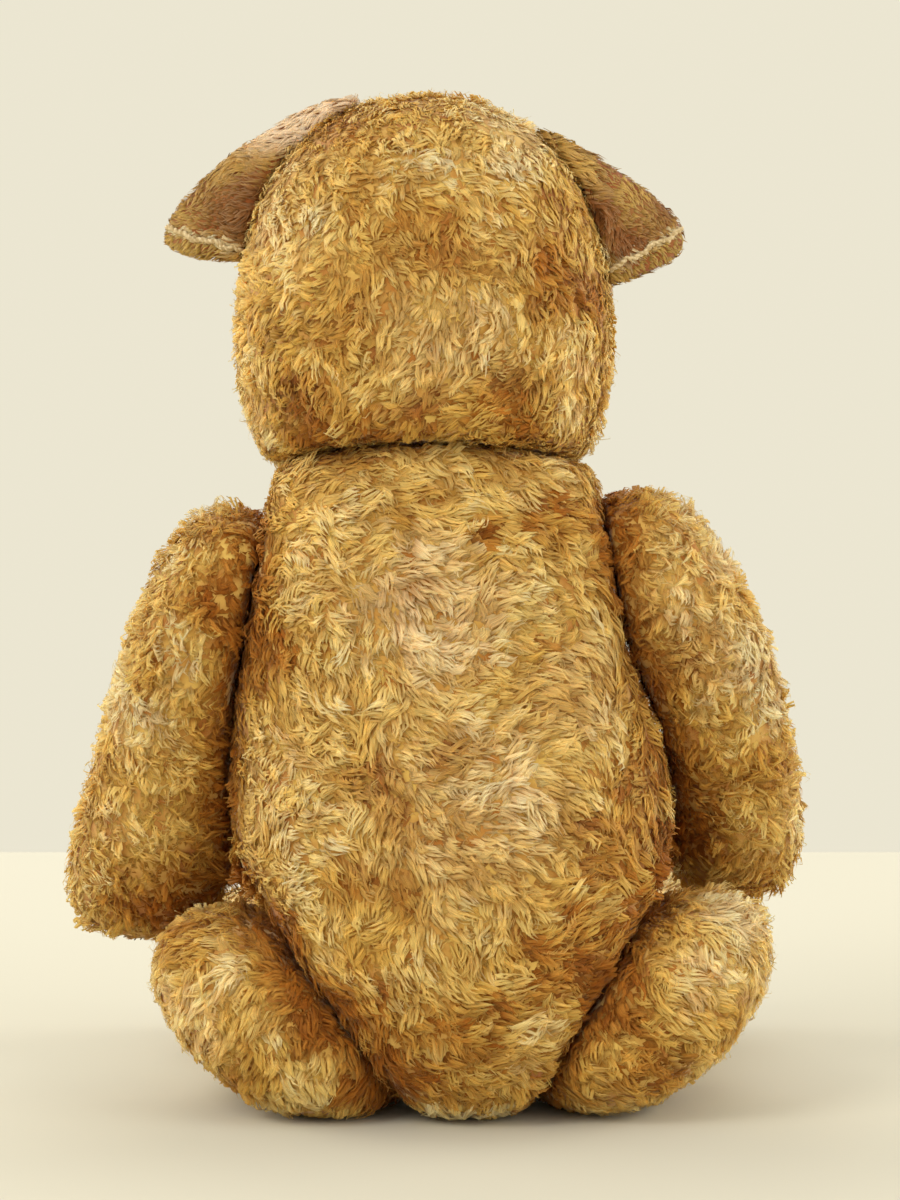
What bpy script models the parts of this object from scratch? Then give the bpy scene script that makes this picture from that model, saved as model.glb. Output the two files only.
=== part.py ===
"""A large jointed teddy bear, seated.

The bear faces -Y and sits on the floor at Z = 0. The origin is the middle of the flat seat under its
trunk, and its left side is +X. A plush cover is a sewn bag round a packed stuffing. The head, arms and legs
each turn on a disc joint: one fibreboard disc inside the trunk, one inside the limb, a steel washer behind
each, and a split cotter pin through the middle. All sizes are in metres.
"""

import math

import bmesh
import bpy
from mathutils import Matrix, Vector
from mathutils.bvhtree import BVHTree

# Covers and the room between pieces.
COVER = 0.003  # plush backing with the felted foot of its pile
SLACK = 0.0003  # between pieces that lie against each other
JOINT_GAP = 0.0006  # between the two covers that face each other at a joint

# Hardware of a disc joint.
DISC_THICK = 0.003
WASHER_THICK = 0.0012
WASHER_RADIUS = 0.0105
WIRE_RADIUS = 0.0007  # half of the cotter pin's wire
LEG_OFFSET = 0.00085  # from the joint's axis to the middle of each leg of the pin
PIN_HOLE = 0.0019  # radius of the hole that the pin passes through
EYE_LOOP = 0.0026  # radius of the pin's eye
CURL = 0.0034  # radius of the curl of each leg
ROUND = 12  # sides of a disc
EYE_NECK = 50  # degrees below level where the pin's eye narrows to its legs
DISC_FACE = JOINT_GAP / 2 + COVER + SLACK  # distances from the joint's plane to each piece
WASHER_FACE = DISC_FACE + DISC_THICK + SLACK
PIN_SEAT = WASHER_FACE + WASHER_THICK + SLACK
EYE_HEIGHT = PIN_SEAT + WIRE_RADIUS + EYE_LOOP * math.sin(math.radians(EYE_NECK))

# Joints: centre, outward direction (from the trunk) and disc radius.
NECK_FORWARD = math.radians(12)
SHOULDER_RISE = math.radians(10.5)
LEFT_HIP_DROP = math.radians(36.9)
RIGHT_HIP_DROP = math.radians(30.8)
JOINTS = {
    "neck": (
        Vector((0.0195, 0.0, 0.3190)),
        Vector((0.0, -math.sin(NECK_FORWARD), math.cos(NECK_FORWARD))),
        0.046,
    ),
    "left_shoulder": (
        Vector((0.1039, -0.004, 0.265)),
        Vector((math.cos(SHOULDER_RISE), 0.0, math.sin(SHOULDER_RISE))),
        0.022,
    ),
    "right_shoulder": (
        Vector((-0.0678, -0.004, 0.2728)),
        Vector((-math.cos(SHOULDER_RISE), 0.0, math.sin(SHOULDER_RISE))),
        0.022,
    ),
    "left_hip": (
        Vector((0.0634, -0.006, 0.0537)),
        Vector((math.cos(LEFT_HIP_DROP), 0.0, -math.sin(LEFT_HIP_DROP))),
        0.030,
    ),
    "right_hip": (
        Vector((-0.0574, -0.006, 0.0561)),
        Vector((-math.cos(RIGHT_HIP_DROP), 0.0, -math.sin(RIGHT_HIP_DROP))),
        0.030,
    ),
}

# Points round the cages of the soft forms, before they are subdivided.
BODY_SIDES = 12
HEAD_SIDES = 16
LIMB_SIDES = 8

# Trunk sections from the top down: height, centre X, half width, centre Y, half depth.
BODY_TOP = (0.352, 0.0195)
BODY_SECTIONS = (
    (0.336, 0.0195, 0.072, 0.000, 0.060),
    (0.302, 0.0195, 0.095, -0.001, 0.072),
    (0.260, 0.0180, 0.102, -0.004, 0.078),
    (0.212, 0.0140, 0.105, -0.006, 0.084),
    (0.166, 0.0080, 0.111, -0.008, 0.091),
    (0.118, 0.0068, 0.114, -0.008, 0.094),
    (0.070, 0.0050, 0.108, -0.006, 0.090),
    (0.030, 0.0020, 0.088, -0.004, 0.076),
    (0.004, 0.0000, 0.058, -0.002, 0.054),
)
BODY_BOTTOM = (-0.012, 0.0)

# Head sections from the top down: height, half width, centre Y, half depth.
HEAD_X = 0.0225
HEAD_TOP = 0.500
HEAD_SECTIONS = (
    (0.491, 0.041, 0.000, 0.042),
    (0.466, 0.072, -0.002, 0.068),
    (0.434, 0.087, -0.003, 0.082),
    (0.398, 0.0925, -0.004, 0.087),
    (0.360, 0.0935, -0.004, 0.087),
    (0.330, 0.084, -0.004, 0.080),
    (0.300, 0.072, -0.006, 0.070),
)
HEAD_BOTTOM = 0.285
MUZZLE_CENTRE = 0.374  # height of the muzzle's middle
MUZZLE_TIP = -0.134  # Y of its end
MUZZLE_FLARE = 0.050  # how far it falls back to its edge
MUZZLE_SIZE = (0.046, 0.041)  # half width and half height at that edge
MUZZLE_POWER = 3.5  # how blunt its end is

# Arm sections down the joint's plane: distance below the joint, depth off the plane, half thickness,
# centre Y, half width. Each arm has settled into a shape of its own.
ARM_TOP = (-0.036, 0.010, 0.001)
ARM_SECTIONS = {
    "left": (
        (-0.021, 0.010, 0.030, 0.000, 0.037),
        (0.012, 0.018, 0.0350, -0.001, 0.045),
        (0.054, 0.021, 0.0410, -0.004, 0.045),
        (0.098, 0.022, 0.0430, -0.013, 0.042),
        (0.146, 0.024, 0.0460, -0.026, 0.040),
        (0.190, 0.031, 0.0425, -0.042, 0.037),
    ),
    "right": (
        (-0.022, 0.012, 0.033, 0.000, 0.037),
        (0.012, 0.021, 0.0385, -0.001, 0.045),
        (0.054, 0.031, 0.0420, -0.004, 0.045),
        (0.098, 0.040, 0.0355, -0.013, 0.042),
        (0.146, 0.039, 0.0380, -0.029, 0.039),
        (0.186, 0.037, 0.0360, -0.046, 0.036),
    ),
}
ARM_BOTTOM = {"left": (0.224, 0.040, -0.054), "right": (0.213, 0.040, -0.060)}
# How far forward each arm is turned on its disc.
ARM_SWING = {"left": math.radians(6), "right": math.radians(8)}
# Each arm's inner side bends off its joint's plane, the left one in under the ribs and the right one out
# round the belly: by how much, and the distances from the joint where that starts and ends.
ARM_BOWS = {"left": (-0.012, 0.080, 0.230), "right": (0.012, 0.035, 0.178)}
BOW_ROOM = 0.0015  # the trunk stays this far inside the bowed arm
PALM_FACES_DOWN = math.radians(50)
PALM_OUT = 0.011  # from the middle of the paw to its flat palm

# Leg sections from the back forward: Y, depth off the hip plane, half thickness, height along the plane,
# half height. The sections lean outwards at the top.
LEG_LEAN = math.radians(18)
LEG_BACK = (0.078, 0.028, 0.012)
LEG_SECTIONS = (
    (0.060, 0.028, 0.0330, 0.012, 0.052),
    (0.028, 0.028, 0.0430, 0.013, 0.074),
    (-0.010, 0.028, 0.0450, 0.012, 0.077),
    (-0.052, 0.029, 0.0410, -0.001, 0.056),
    (-0.096, 0.031, 0.0375, -0.009, 0.045),
    (-0.140, 0.033, 0.0355, -0.006, 0.043),
    (-0.182, 0.036, 0.0350, 0.002, 0.047),
    (-0.216, 0.038, 0.0370, 0.014, 0.060),
)
LEG_FRONT = (-0.252, 0.038, 0.016)
SOLE = -0.234  # the flat sole stands at this Y

# Ears: where the rim meets the head above, the drooping tip, where the rim meets the head below, and
# how far the rim swells between these points.
EAR_THICK = 0.009
EAR_GRID = 4
EAR_TIP_AT = 0.62  # where the tip lies along the rim
EAR_CUP = 0.014  # how far the middle of the ear is cupped back
EAR_CUP_END = 0.8  # the cup is deepest before the rim, which curls forward again
EAR_SINK = 0.012  # the ear runs this far into the head before it is trimmed to fit
EARS = {
    "left_ear": ((0.062, 0.006, 0.497), (0.158, -0.026, 0.427), (0.108, 0.006, 0.417), 0.019),
    "right_ear": ((-0.028, 0.006, 0.482), (-0.117, -0.026, 0.425), (-0.064, 0.006, 0.404), 0.013),
}

EYE_RADII = (0.0095, 0.0095, 0.0070)
EYE_PLACE = (0.034, 0.417)  # off the middle of the face, and height
NOSE_HEIGHT = 0.389
NOSE_RADII = (0.009, 0.015, 0.006)
NOSE_TILT = math.radians(18)  # the nose looks up by this much
BUTTON_SIDES = 12
MOUTH_HEIGHT = 0.366
MOUTH_HALF_WIDTH = 0.017
MOUTH_DROP = 0.0045
MOUTH_POINTS = 9
STITCH_RADIUS = 0.0012

PAD_THICK = 0.0018
PAW_PAD = (0.014, 0.019)  # half width and half length
SOLE_PAD = (0.020, 0.034)

FINISHES = {
    "plush": ((0.50, 0.31, 0.13), 0.95, 0.0),
    "ear_plush": ((0.42, 0.25, 0.13), 0.95, 0.0),
    "stuffing": ((0.66, 0.56, 0.36), 0.95, 0.0),
    "fibreboard": ((0.28, 0.18, 0.10), 0.85, 0.0),
    "steel": ((0.45, 0.44, 0.42), 0.45, 1.0),
    "boot_button": ((0.015, 0.012, 0.010), 0.20, 0.0),
    "wool": ((0.05, 0.030, 0.020), 0.90, 0.0),
    "felt": ((0.55, 0.42, 0.26), 0.95, 0.0),
}


def clear_scene():
    for obj in list(bpy.data.objects):
        bpy.data.objects.remove(obj, do_unlink=True)


def make_collection(name, hidden=False):
    made = bpy.data.collections.new(name)
    bpy.context.scene.collection.children.link(made)
    made.hide_render = hidden
    return made


def material(name, colour, roughness, metallic):
    made = bpy.data.materials.new(name)
    made.use_nodes = True
    shader = made.node_tree.nodes["Principled BSDF"]
    shader.inputs["Base Color"].default_value = (*colour, 1.0)
    shader.inputs["Roughness"].default_value = roughness
    shader.inputs["Metallic"].default_value = metallic
    return made


def add_part(name, mesh, finish):
    made = bpy.data.objects.new(name, mesh)
    PARTS.objects.link(made)
    made.data.materials.append(material(name, *FINISHES[finish]))
    return made


def add_cutter(name, mesh):
    made = bpy.data.objects.new(name, mesh)
    CUTTERS.objects.link(made)
    made.hide_render = True
    made.display_type = "WIRE"
    return made


def evaluated_mesh(obj):
    """The mesh that an object's modifiers give, in the object's own frame."""
    graph = bpy.context.evaluated_depsgraph_get()
    return bpy.data.meshes.new_from_object(obj.evaluated_get(graph))


def smooth(mesh):
    mesh.shade_smooth()
    mesh.set_sharp_from_angle(angle=math.radians(50))


def cut(obj, cutter):
    modifier = obj.modifiers.new(cutter.name, "BOOLEAN")
    modifier.operation = "DIFFERENCE"
    modifier.solver = "EXACT"
    modifier.object = cutter


def joint_frame(centre, outward):
    """A joint's frame: +Z outwards along its axis, and +X as near to forward as that lets it be."""
    forward = Vector((0.0, -1.0, 0.0))
    forward = (forward - forward.dot(outward) * outward).normalized()
    turned = Matrix((forward, outward.cross(forward), outward)).transposed()
    return Matrix.Translation(centre) @ turned.to_4x4()


# ---------------------------------------------------------------- soft forms


def ring_fill(segments):
    """How much one level of subdivision draws a ring of this many points in."""
    return (6 + 2 * math.cos(2 * math.pi / segments)) / 8


def soft_mesh(name, first, sections, last, segments):
    """A closed smooth form: a sphere's cage, its rings moved to the sections, with Subdivision Surface.

    A section is a centre and two half axes. The poles are points.
    """
    bm = bmesh.new()
    count = len(sections) + 1
    bmesh.ops.create_uvsphere(bm, u_segments=segments, v_segments=count, radius=1.0)
    spread = 1 / ring_fill(segments)
    for vert in bm.verts:
        ring = round(math.acos(max(-1.0, min(1.0, vert.co.z))) / math.pi * count)
        angle = math.atan2(vert.co.y, vert.co.x)
        if ring == 0:
            vert.co = first
        elif ring == count:
            vert.co = last
        else:
            centre, across, along = sections[ring - 1]
            vert.co = centre + spread * (math.cos(angle) * across + math.sin(angle) * along)
    if bm.calc_volume(signed=True) < 0:
        bmesh.ops.reverse_faces(bm, faces=bm.faces)
    mesh = bpy.data.meshes.new(name)
    bm.to_mesh(mesh)
    bm.free()
    guide = add_cutter(name + "_cage", mesh)
    modifier = guide.modifiers.new("smooth", "SUBSURF")
    modifier.levels = 1
    modifier.render_levels = 1
    smoothed = evaluated_mesh(guide)
    bpy.data.objects.remove(guide, do_unlink=True)
    return smoothed


def press(mesh, point, outward, limit=None):
    """Pushes every vertex beyond a plane back onto it, but for limit(radius), how far it may stand out."""
    for vert in mesh.vertices:
        offset = vert.co - point
        beyond = offset.dot(outward)
        allowed = limit((offset - beyond * outward).length) if limit else 0.0
        if beyond > allowed:
            vert.co -= (beyond - allowed) * outward


def pressed_middle(mesh, point, outward):
    """The middle of the flat that press left on this plane."""
    flat = [vert.co for vert in mesh.vertices if abs((vert.co - point).dot(outward)) < SLACK]
    low = Vector([min(co[i] for co in flat) for i in range(3)])
    high = Vector([max(co[i] for co in flat) for i in range(3)])
    middle = (low + high) / 2
    return middle - (middle - point).dot(outward) * outward


def settle(mesh):
    """Splits the faces into triangles, so that every surface inset from this one bends where it does."""
    bm = bmesh.new()
    bm.from_mesh(mesh)
    bmesh.ops.triangulate(bm, faces=bm.faces)
    bm.to_mesh(mesh)
    bm.free()
    smooth(mesh)


def inset(mesh, distance):
    """A copy of a closed mesh with its surface moved in by this distance, or out if it is negative."""
    bm = bmesh.new()
    bm.from_mesh(mesh)
    bm.normal_update()
    moves = [vert.normal * (vert.calc_shell_factor() * distance) for vert in bm.verts]
    for vert, move in zip(bm.verts, moves):
        vert.co -= move
    moved = bpy.data.meshes.new(mesh.name + "_inset")
    bm.to_mesh(moved)
    bm.free()
    return moved


def cover_of(name, mesh):
    """The plush bag: the closed form hollowed to a wall of COVER, which the pin holes then open."""
    made = add_part(name, mesh.copy(), "plush")
    cut(made, add_cutter(name + "_inside", inset(mesh, COVER)))
    return made


def stuffing_of(name, mesh):
    return add_part(name, inset(mesh, COVER + SLACK), "stuffing")


# ---------------------------------------------------------------- turned and bent hardware


def turned_mesh(name, profile, steps, closed):
    """A profile of (radius, height), running down its outer side, turned round Z."""
    bm = bmesh.new()
    points = [bm.verts.new((radius, 0.0, height)) for radius, height in profile]
    for start, end in zip(points, points[1:]):
        bm.edges.new((start, end))
    if closed:
        bm.edges.new((points[-1], points[0]))
    mesh = bpy.data.meshes.new(name)
    bm.to_mesh(mesh)
    bm.free()
    guide = add_cutter(name + "_profile", mesh)
    turn = guide.modifiers.new("turn", "SCREW")
    turn.steps = steps
    turn.render_steps = steps
    turn.use_merge_vertices = True
    turn.merge_threshold = 1e-6
    made = evaluated_mesh(guide)
    bpy.data.objects.remove(guide, do_unlink=True)
    bm = bmesh.new()
    bm.from_mesh(made)
    bmesh.ops.recalc_face_normals(bm, faces=bm.faces)
    bm.to_mesh(made)
    bm.free()
    return made


def plate(name, radius, low, thick, frame, finish):
    """A flat ring round the pin: a disc or a washer."""
    high = low + thick
    profile = ((PIN_HOLE, high), (radius, high), (radius, low), (PIN_HOLE, low))
    made = add_part(name, turned_mesh(name, profile, ROUND, closed=True), finish)
    made.matrix_world = frame
    return made


def room_cutter(name, profile, frame):
    """A turned cutter. The profile starts and ends on the axis."""
    made = add_cutter(name, turned_mesh(name, profile, ROUND, closed=False))
    made.matrix_world = frame
    return made


def arc(centre, radius, start, end, count):
    """Points of an arc in the XZ plane, angles in degrees."""
    points = []
    for i in range(count):
        angle = math.radians(start + (end - start) * i / (count - 1))
        x = centre[0] + radius * math.cos(angle)
        z = centre[1] + radius * math.sin(angle)
        points.append(Vector((x, 0.0, z)))
    return points


def wire_mesh(name, points, radius):
    """A wire along the points, with its caps welded on."""
    curve = bpy.data.curves.new(name, "CURVE")
    curve.dimensions = "3D"
    curve.bevel_depth = radius
    curve.bevel_resolution = 1
    curve.use_fill_caps = True
    spline = curve.splines.new("POLY")
    spline.points.add(len(points) - 1)
    for target, point in zip(spline.points, points):
        target.co = (*point, 1.0)
    guide = bpy.data.objects.new(name + "_wire", curve)
    CUTTERS.objects.link(guide)
    made = evaluated_mesh(guide)
    bpy.data.objects.remove(guide, do_unlink=True)
    bm = bmesh.new()
    bm.from_mesh(made)
    bmesh.ops.remove_doubles(bm, verts=bm.verts, dist=1e-6)
    bmesh.ops.recalc_face_normals(bm, faces=bm.faces)
    bm.to_mesh(made)
    bm.free()
    made.shade_smooth()
    return made


def cotter_pin(name, frame):
    """One bent wire: its eye sits on the limb's washer, and its two legs curl over the trunk's washer."""
    eye = arc((0.0, EYE_HEIGHT), EYE_LOOP, -EYE_NECK, 180 + EYE_NECK, 9)
    curl = arc((LEG_OFFSET + CURL, -PIN_SEAT), CURL, 360, 180, 6)
    leg = curl + [Vector((LEG_OFFSET, 0.0, PIN_SEAT))]
    other_leg = [Vector((-point.x, 0.0, point.z)) for point in reversed(leg)]
    made = add_part(name, wire_mesh(name, leg + eye + other_leg, WIRE_RADIUS), "steel")
    made.matrix_world = frame
    return made


def fit_joint(joint, trunk, limb):
    """Discs, washers and pin of one joint, with the holes and rooms that they need.

    trunk and limb are (name, cover, stuffing). It returns the limb's disc and washer.
    """
    centre, outward, radius = JOINTS[joint]
    frame = joint_frame(centre, outward)
    disc_end = DISC_FACE + DISC_THICK
    washer_end = WASHER_FACE + WASHER_THICK
    carried = []
    for (owner, _, _), disc_low, washer_low in (
        (trunk, -disc_end, -washer_end),
        (limb, DISC_FACE, WASHER_FACE),
    ):
        name = f"{joint}_{owner}"
        disc = plate(name + "_disc", radius, disc_low, DISC_THICK, frame, "fibreboard")
        washer = plate(name + "_washer", WASHER_RADIUS, washer_low, WASHER_THICK, frame, "steel")
        carried = [disc, washer]
    cotter_pin(joint + "_pin", frame)
    disc_room = radius + 2 * SLACK
    washer_room = WASHER_RADIUS + 2 * SLACK
    curl_end = PIN_SEAT + CURL + WIRE_RADIUS + 2 * SLACK
    eye_end = EYE_HEIGHT + EYE_LOOP + WIRE_RADIUS + 2 * SLACK
    eye_room = EYE_LOOP + WIRE_RADIUS + 2 * SLACK
    hole = room_cutter(
        joint + "_hole",
        (
            (0, curl_end),
            (PIN_HOLE, curl_end),
            (PIN_HOLE, -curl_end),
            (0, -curl_end),
        ),
        frame,
    )
    trunk_room = room_cutter(
        joint + "_trunk_room",
        (
            (0, 0),
            (disc_room, 0),
            (disc_room, -WASHER_FACE),
            (washer_room, -WASHER_FACE),
            (washer_room, -curl_end),
            (0, -curl_end),
        ),
        frame,
    )
    limb_room = room_cutter(
        joint + "_limb_room",
        (
            (0, eye_end),
            (eye_room, eye_end),
            (eye_room, PIN_SEAT),
            (washer_room, PIN_SEAT),
            (washer_room, WASHER_FACE),
            (disc_room, WASHER_FACE),
            (disc_room, 0),
            (0, 0),
        ),
        frame,
    )
    for _, cover, _ in (trunk, limb):
        cut(cover, hole)
    cut(trunk[2], trunk_room)
    cut(limb[2], limb_room)
    return carried


# ---------------------------------------------------------------- the bear's pieces


def upright_sections(rows):
    """Sections level with the floor, from (height, centre X, half width, centre Y, half depth)."""
    return [
        (Vector((x, y, z)), Vector((half_width, 0, 0)), Vector((0, half_depth, 0)))
        for z, x, half_width, y, half_depth in rows
    ]


def bow(side, radius):
    """How far an arm's inner side stands off its joint's plane, by distance from the joint's axis."""
    most, start, end = ARM_BOWS[side]
    share = (radius - start) / (end - start)
    return most * math.sin(math.pi * share) ** 2 if 0 < share < 1 else 0.0


def belly_room(radius):
    """How far the belly may swell past the right shoulder's plane, inside the bowed arm."""
    return max(0.0, bow("right", radius) - BOW_ROOM)


def make_trunk():
    top = Vector((BODY_TOP[1], 0, BODY_TOP[0]))
    bottom = Vector((BODY_BOTTOM[1], 0, BODY_BOTTOM[0]))
    mesh = soft_mesh("body", top, upright_sections(BODY_SECTIONS), bottom, BODY_SIDES)
    for joint, (centre, outward, _) in JOINTS.items():
        room = belly_room if joint == "right_shoulder" else None
        press(mesh, centre - outward * JOINT_GAP / 2, outward, room)
    press(mesh, Vector((0, 0, 0)), Vector((0, 0, -1)))
    settle(mesh)
    return "body", cover_of("body_cover", mesh), stuffing_of("body_stuffing", mesh)


def make_head():
    rows = [(z, HEAD_X, half_width, y, half_depth) for z, half_width, y, half_depth in HEAD_SECTIONS]
    top = Vector((HEAD_X, 0, HEAD_TOP))
    bottom = Vector((HEAD_X, 0, HEAD_BOTTOM))
    mesh = soft_mesh("head", top, upright_sections(rows), bottom, HEAD_SIDES)
    for vert in mesh.vertices:
        if vert.co.y < 0:
            across = (vert.co.x - HEAD_X) / MUZZLE_SIZE[0]
            up = (vert.co.z - MUZZLE_CENTRE) / MUZZLE_SIZE[1]
            fall = math.hypot(across, up) ** MUZZLE_POWER
            vert.co.y = min(vert.co.y, MUZZLE_TIP + MUZZLE_FLARE * fall)
    centre, outward, _ = JOINTS["neck"]
    press(mesh, centre + outward * JOINT_GAP / 2, -outward)
    settle(mesh)
    return mesh


def make_arm(side):
    joint = side + "_shoulder"
    centre, outward, _ = JOINTS[joint]
    straight_down = Vector((outward.z * (1 if outward.x > 0 else -1), 0, -abs(outward.x)))
    forward = Vector((0, -1, 0))
    swing = ARM_SWING[side]
    down = math.cos(swing) * straight_down + math.sin(swing) * forward
    backward = math.sin(swing) * straight_down - math.cos(swing) * forward

    def at(distance, depth, y):
        return centre + down * distance + backward * y + outward * depth

    sections = [
        (at(distance, depth, y), outward * half_thick, backward * half_width)
        for distance, depth, half_thick, y, half_width in ARM_SECTIONS[side]
    ]
    mesh = soft_mesh(side + "_arm", at(*ARM_TOP), sections, at(*ARM_BOTTOM[side]), LIMB_SIDES)
    palm_out = down * math.sin(PALM_FACES_DOWN) - backward * math.cos(PALM_FACES_DOWN)
    distance, depth, _, y, _ = ARM_SECTIONS[side][-1]
    palm_place = at(distance, depth, y) + palm_out * PALM_OUT
    press(mesh, palm_place, palm_out)
    press(mesh, centre + outward * JOINT_GAP / 2, -outward, lambda radius: -bow(side, radius))
    palm_middle = pressed_middle(mesh, palm_place, palm_out)
    settle(mesh)
    name = side + "_arm"
    arm = ("arm", cover_of(name + "_cover", mesh), stuffing_of(name + "_stuffing", mesh))
    return arm, make_pad(side + "_paw_pad", palm_middle, palm_out, down, *PAW_PAD)


def make_leg(side):
    joint = side + "_hip"
    centre, outward, _ = JOINTS[joint]
    up = Vector((-outward.z * (1 if outward.x > 0 else -1), 0, abs(outward.x)))

    def at(y, depth, height):
        return centre + outward * depth + up * height + Vector((0, y, 0))

    across = math.cos(LEG_LEAN) * outward - math.sin(LEG_LEAN) * up
    along = math.cos(LEG_LEAN) * up + math.sin(LEG_LEAN) * outward
    sections = [
        (at(y, depth, height), across * half_thick, along * half_height)
        for y, depth, half_thick, height, half_height in LEG_SECTIONS
    ]
    mesh = soft_mesh(side + "_leg", at(*LEG_BACK), sections, at(*LEG_FRONT), LIMB_SIDES)
    press(mesh, centre + outward * JOINT_GAP / 2, -outward)
    forward = Vector((0, -1, 0))
    sole_place = Vector((0, SOLE, 0))
    press(mesh, sole_place, forward)
    press(mesh, Vector((0, 0, 0)), Vector((0, 0, -1)))
    sole_middle = pressed_middle(mesh, sole_place, forward)
    settle(mesh)
    name = side + "_leg"
    leg = ("leg", cover_of(name + "_cover", mesh), stuffing_of(name + "_stuffing", mesh))
    return leg, make_pad(side + "_foot_pad", sole_middle, forward, up, *SOLE_PAD)


def sewn_on(made, form):
    """Trims a piece to lie just off the form that carries it."""
    cut(made, add_cutter(made.name + "_seat", inset(form, -SLACK)))
    return made


def make_ear(name, head_form):
    """A cupped pad from the line where it is sewn to the head to its drooping rim, trimmed to the head."""
    upper, tip, lower = (Vector(point) for point in EARS[name][:3])
    rounding = EARS[name][3]
    bm = bmesh.new()
    bmesh.ops.create_grid(bm, x_segments=EAR_GRID, y_segments=EAR_GRID, size=0.5)
    into_head = Vector((HEAD_X, 0.0, (upper.z + lower.z) / 2)) - (upper + lower) / 2
    into_head = into_head.normalized() * EAR_SINK
    for vert in bm.verts:
        along = vert.co.x + 0.5
        out = vert.co.y + 0.5
        base = upper.lerp(lower, along)
        if along < EAR_TIP_AT:
            rim = upper.lerp(tip, along / EAR_TIP_AT)
        else:
            rim = tip.lerp(lower, (along - EAR_TIP_AT) / (1 - EAR_TIP_AT))
        swell = math.sin(math.pi * along)
        rim = rim + (rim - (upper + lower) / 2).normalized() * rounding * swell
        cup = Vector((0, EAR_CUP * swell * math.sin(math.pi * EAR_CUP_END * out), 0))
        vert.co = base.lerp(rim, out) + into_head * (1 - out) + cup
    mesh = bpy.data.meshes.new(name)
    bm.to_mesh(mesh)
    bm.free()
    made = add_part(name, mesh, "ear_plush")
    pad = made.modifiers.new("pad", "SOLIDIFY")
    pad.thickness = EAR_THICK
    pad.offset = 0.0
    rounded = made.modifiers.new("rounded", "SUBSURF")
    rounded.levels = 1
    rounded.render_levels = 1
    return sewn_on(made, head_form)


def face_point(form, x, z):
    """Where the front of the head stands at this X and Z, and the direction that it faces."""
    tree = BVHTree.FromPolygons(
        [vert.co for vert in form.vertices], [tuple(face.vertices) for face in form.polygons]
    )
    place, facing, _, _ = tree.ray_cast(Vector((x, -1.0, z)), Vector((0, 1, 0)))
    return place, facing


def button(name, radii, place, facing, form, finish):
    """A rounded knob that sits on the head and stands out along the direction it faces."""
    bm = bmesh.new()
    bmesh.ops.create_uvsphere(bm, u_segments=BUTTON_SIDES, v_segments=BUTTON_SIDES // 2, radius=1.0)
    for vert in bm.verts:
        vert.co = Vector((vert.co.x * radii[0], vert.co.y * radii[1], vert.co.z * radii[2]))
    mesh = bpy.data.meshes.new(name)
    bm.to_mesh(mesh)
    bm.free()
    mesh.shade_smooth()
    made = add_part(name, mesh, finish)
    made.matrix_world = joint_frame(place, facing)
    return sewn_on(made, form)


def make_face(form):
    """Eyes, nose and mouth of a plain bear."""
    made = []
    for side, name in ((1, "left_eye"), (-1, "right_eye")):
        place, facing = face_point(form, HEAD_X + side * EYE_PLACE[0], EYE_PLACE[1])
        made.append(button(name, EYE_RADII, place, facing, form, "boot_button"))
    place, _ = face_point(form, HEAD_X, NOSE_HEIGHT)
    facing = Vector((0, -math.cos(NOSE_TILT), math.sin(NOSE_TILT)))
    made.append(button("nose", NOSE_RADII, place, facing, form, "wool"))
    points = []
    for i in range(MOUTH_POINTS):
        share = 2 * i / (MOUTH_POINTS - 1) - 1
        x = HEAD_X + MOUTH_HALF_WIDTH * share
        z = MOUTH_HEIGHT - MOUTH_DROP * share**2
        place, facing = face_point(form, x, z)
        points.append(place + facing * (STITCH_RADIUS + 3 * SLACK))
    made.append(add_part("mouth", wire_mesh("mouth", points, STITCH_RADIUS), "wool"))
    return made


def make_pad(name, centre, outward, along, half_width, half_length):
    """A flat oval of felt on the pressed end of a limb."""
    bm = bmesh.new()
    bmesh.ops.create_cone(
        bm, cap_ends=True, segments=ROUND, radius1=1.0, radius2=1.0, depth=PAD_THICK
    )
    for vert in bm.verts:
        vert.co = Vector((vert.co.x * half_length, vert.co.y * half_width, vert.co.z))
    mesh = bpy.data.meshes.new(name)
    bm.to_mesh(mesh)
    bm.free()
    made = add_part(name, mesh, "felt")
    along = (along - along.dot(outward) * outward).normalized()
    turned = Matrix((along, outward.cross(along), outward)).transposed().to_4x4()
    made.matrix_world = Matrix.Translation(centre + outward * (SLACK + PAD_THICK / 2)) @ turned
    return made


def hang_on(pivot_name, joint, pieces):
    """Parents the pieces to an empty on their joint's axis, and leaves them where they are."""
    centre, outward, _ = JOINTS[joint]
    pivot = bpy.data.objects.new(pivot_name, None)
    PARTS.objects.link(pivot)
    pivot.matrix_world = joint_frame(centre, outward)
    bpy.context.view_layer.update()
    for piece in pieces:
        place = piece.matrix_world.copy()
        piece.parent = pivot
        piece.matrix_parent_inverse = pivot.matrix_world.inverted()
        piece.matrix_world = place


clear_scene()
PARTS = make_collection("threadbare_teddy_bear")
CUTTERS = make_collection("cutters", hidden=True)

trunk = make_trunk()

head_form = make_head()
head = ("head", cover_of("head_cover", head_form), stuffing_of("head_stuffing", head_form))
carried = [head[1], head[2], make_ear("left_ear", head_form), make_ear("right_ear", head_form)]
carried += make_face(head_form)
carried += fit_joint("neck", trunk, head)
hang_on("head_pivot", "neck", carried)

for side in ("left", "right"):
    arm, palm = make_arm(side)
    carried = [arm[1], arm[2], palm] + fit_joint(side + "_shoulder", trunk, arm)
    hang_on(side + "_arm_pivot", side + "_shoulder", carried)
    leg, sole = make_leg(side)
    carried = [leg[1], leg[2], sole] + fit_joint(side + "_hip", trunk, leg)
    hang_on(side + "_leg_pivot", side + "_hip", carried)
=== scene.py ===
"""Looks of the threadbare teddy bear: sewn skins under a worn, curly pile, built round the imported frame."""

import math
from types import SimpleNamespace

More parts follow.
